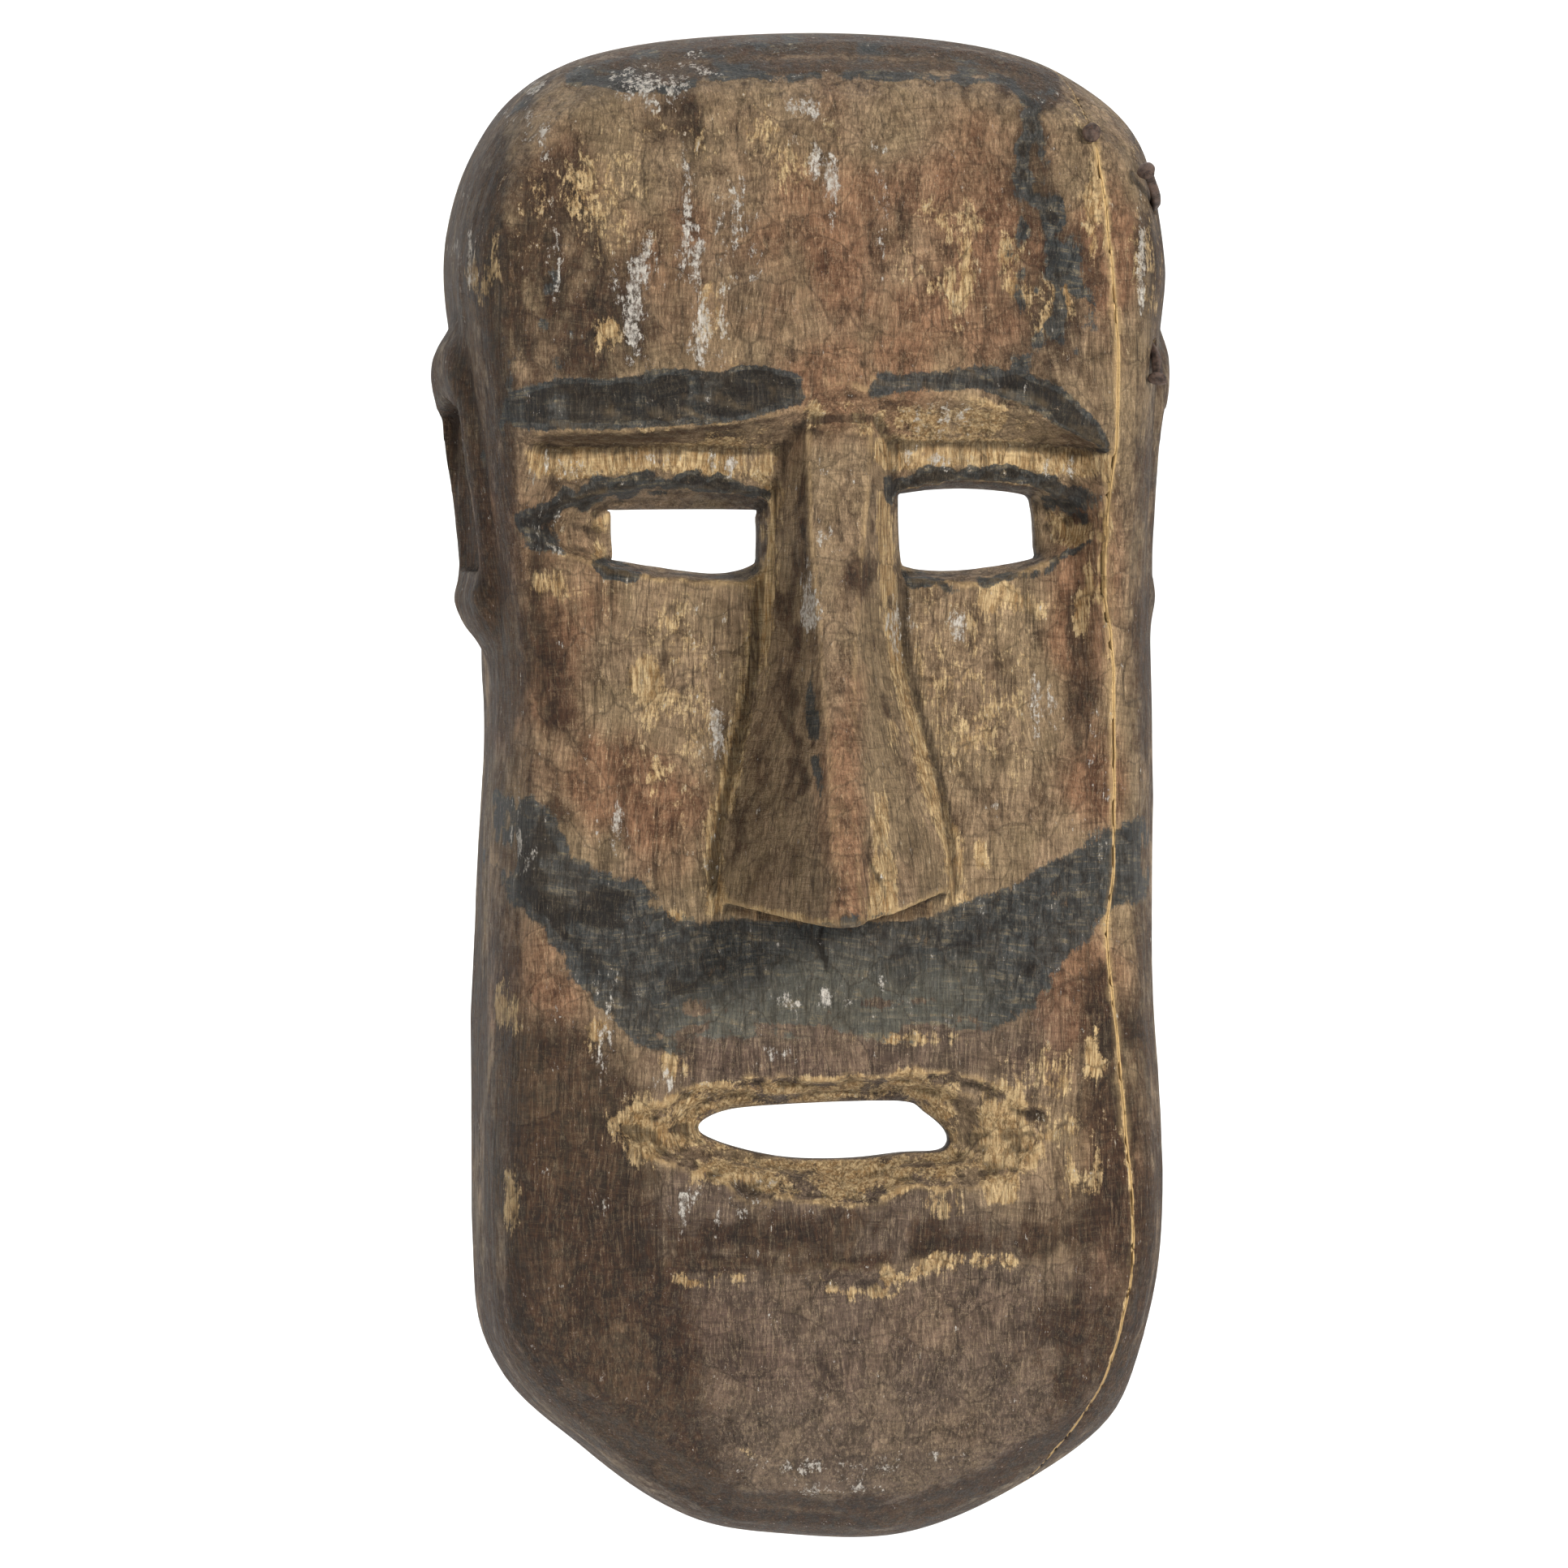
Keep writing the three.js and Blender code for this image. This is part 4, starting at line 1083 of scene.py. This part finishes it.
def iron_material():
    n = Nodes("old_iron")
    coarse = n.noise((0.6, 0.6, 0.6), 5, 0.65)
    fine = n.noise((3.0, 3.0, 3.0), 5, 0.7)
    rust = n.layered(
        n.mix(n.step(coarse, 0.35, 0.65), "#2c231e", "#4c382c"),
        (n.step(fine, 0.5, 0.75, 0, 0.6), "#6b4a33"),
        (n.step(fine, 0.45, 0.25, 0, 0.7), "#1f1815"),
    )
    metallic = n.step(coarse, 0.6, 0.35, 0.0, 0.55)
    return n.finish(rust, metallic, n.step(fine, 0.3, 0.7, 0.5, 0.85), n.math("ADD", fine, coarse), 0.0002, 0.8)


# ---- Build the pieces ----
WOOD, SHELL_FIELD, STAVE_FIELD = wood_fields()
for route in NAILS.values():
    drill(SHELL_FIELD, route)
    drill(STAVE_FIELD, route)


def wood_piece(name, field, side, node):
    points, quads = surface(field)
    points, quads = largest_part(points, quads)
    points = sharpen(settle(field, points), side)
    obj = make_object(name, to_frame(points), quads[:, ::-1])
    obj.data.set_sharp_from_angle(angle=SHARP_ANGLE)
    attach(obj, "root")
    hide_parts(node)
    return obj, points, quads


face_obj, face_points, face_quads = wood_piece("carved_face", SHELL_FIELD, -1, "mask_shell")
stave_obj, stave_points, stave_quads = wood_piece("split_stave", STAVE_FIELD, 1, "side_stave")

nails = []
for node, route in NAILS.items():
    nail = nail_object("forged_" + node, route)
    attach(nail, "root")
    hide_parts(node)
    nails.append(nail)

nose_front = NOSE * (MAP_Z > NOSE_FOOT - 4) * (MAP_Z < NOSE_TOP) * (np.abs(MAP_X) < NOSE_REACH)
FRONT = np.maximum(FACE, nose_front)
PAINT = paint_maps(MAP_X, MAP_Z)
paint_wood(face_obj, face_points, face_quads, SHELL_FIELD)
paint_wood(stave_obj, stave_points, stave_quads, STAVE_FIELD)
face_obj.data.materials.append(wood_material("pigmented_wood"))
stave_obj.data.materials.append(wood_material("pigmented_stave"))
iron = iron_material()
for nail in nails:
    nail.data.materials.append(iron)


# ---- The stage, the lights and the camera ----
def stage_sweep():
    """A pale floor that curves up into a wall far behind the mask."""
    floor, back, top, radius, half = -0.50, 2.6, 4.0, 0.9, 5.0
    outline = [(-4.0, floor), (back - radius, floor)]
    for angle in np.linspace(0, math.pi / 2, 17)[1:]:
        outline.append((back - radius + radius * math.sin(angle), floor + radius - radius * math.cos(angle)))
    outline.append((back, top))
    count = len(outline)
    vertices = [(x, y, z) for x in (-half, half) for y, z in outline]
    faces = [(i, count + i, count + i + 1, i + 1) for i in range(count - 1)]
    obj = make_object("stage_sweep", vertices, faces)
    material = bpy.data.materials.new("stage_paper")
    material.use_nodes = True
    shader = material.node_tree.nodes["Principled BSDF"]
    shader.inputs["Base Color"].default_value = (0.9, 0.9, 0.89, 1)
    shader.inputs["Roughness"].default_value = 0.9
    obj.data.materials.append(material)


def soft_light(name, place, target, width, height, power):
    light = bpy.data.lights.new(name, "AREA")
    light.shape = "RECTANGLE"
    light.size, light.size_y = width, height
    light.energy = power
    obj = bpy.data.objects.new(name, light)
    obj.location = place
    obj.rotation_euler = (Vector(target) - Vector(place)).to_track_quat("-Z", "Y").to_euler()
    bpy.context.scene.collection.objects.link(obj)


stage_sweep()
soft_light("key", (1.2, -1.55, 0.65), (0, -0.05, 0.02), 0.4, 0.4, 45)
soft_light("fill", (-1.2, -1.9, 0.3), (0, -0.05, 0), 1.2, 1.2, 21)
soft_light("wall_light", (0, 1.0, 3.0), (0, 2.6, 0.2), 3.0, 1.0, 120)
world = bpy.data.worlds.new("room")
world.use_nodes = True
world.node_tree.nodes["Background"].inputs["Color"].default_value = (1, 1, 1, 1)
world.node_tree.nodes["Background"].inputs["Strength"].default_value = 0.25
bpy.context.scene.world = world
bpy.context.scene.view_settings.view_transform = "Standard"

VIEW_ANGLE = math.radians(-5)
CAMERA_TARGET = Vector((-0.0074, -0.035, 0.0))
CAMERA_DISTANCE = 1.932
camera_data = bpy.data.cameras.new("camera")
camera_data.lens = 200
camera_data.sensor_width = 36
camera = bpy.data.objects.new("camera", camera_data)
backward = Vector((math.sin(VIEW_ANGLE), -math.cos(VIEW_ANGLE), 0))
camera.location = CAMERA_TARGET + CAMERA_DISTANCE * backward
camera.rotation_euler = (-backward).to_track_quat("-Z", "Y").to_euler()
bpy.context.scene.collection.objects.link(camera)
bpy.context.scene.camera = camera
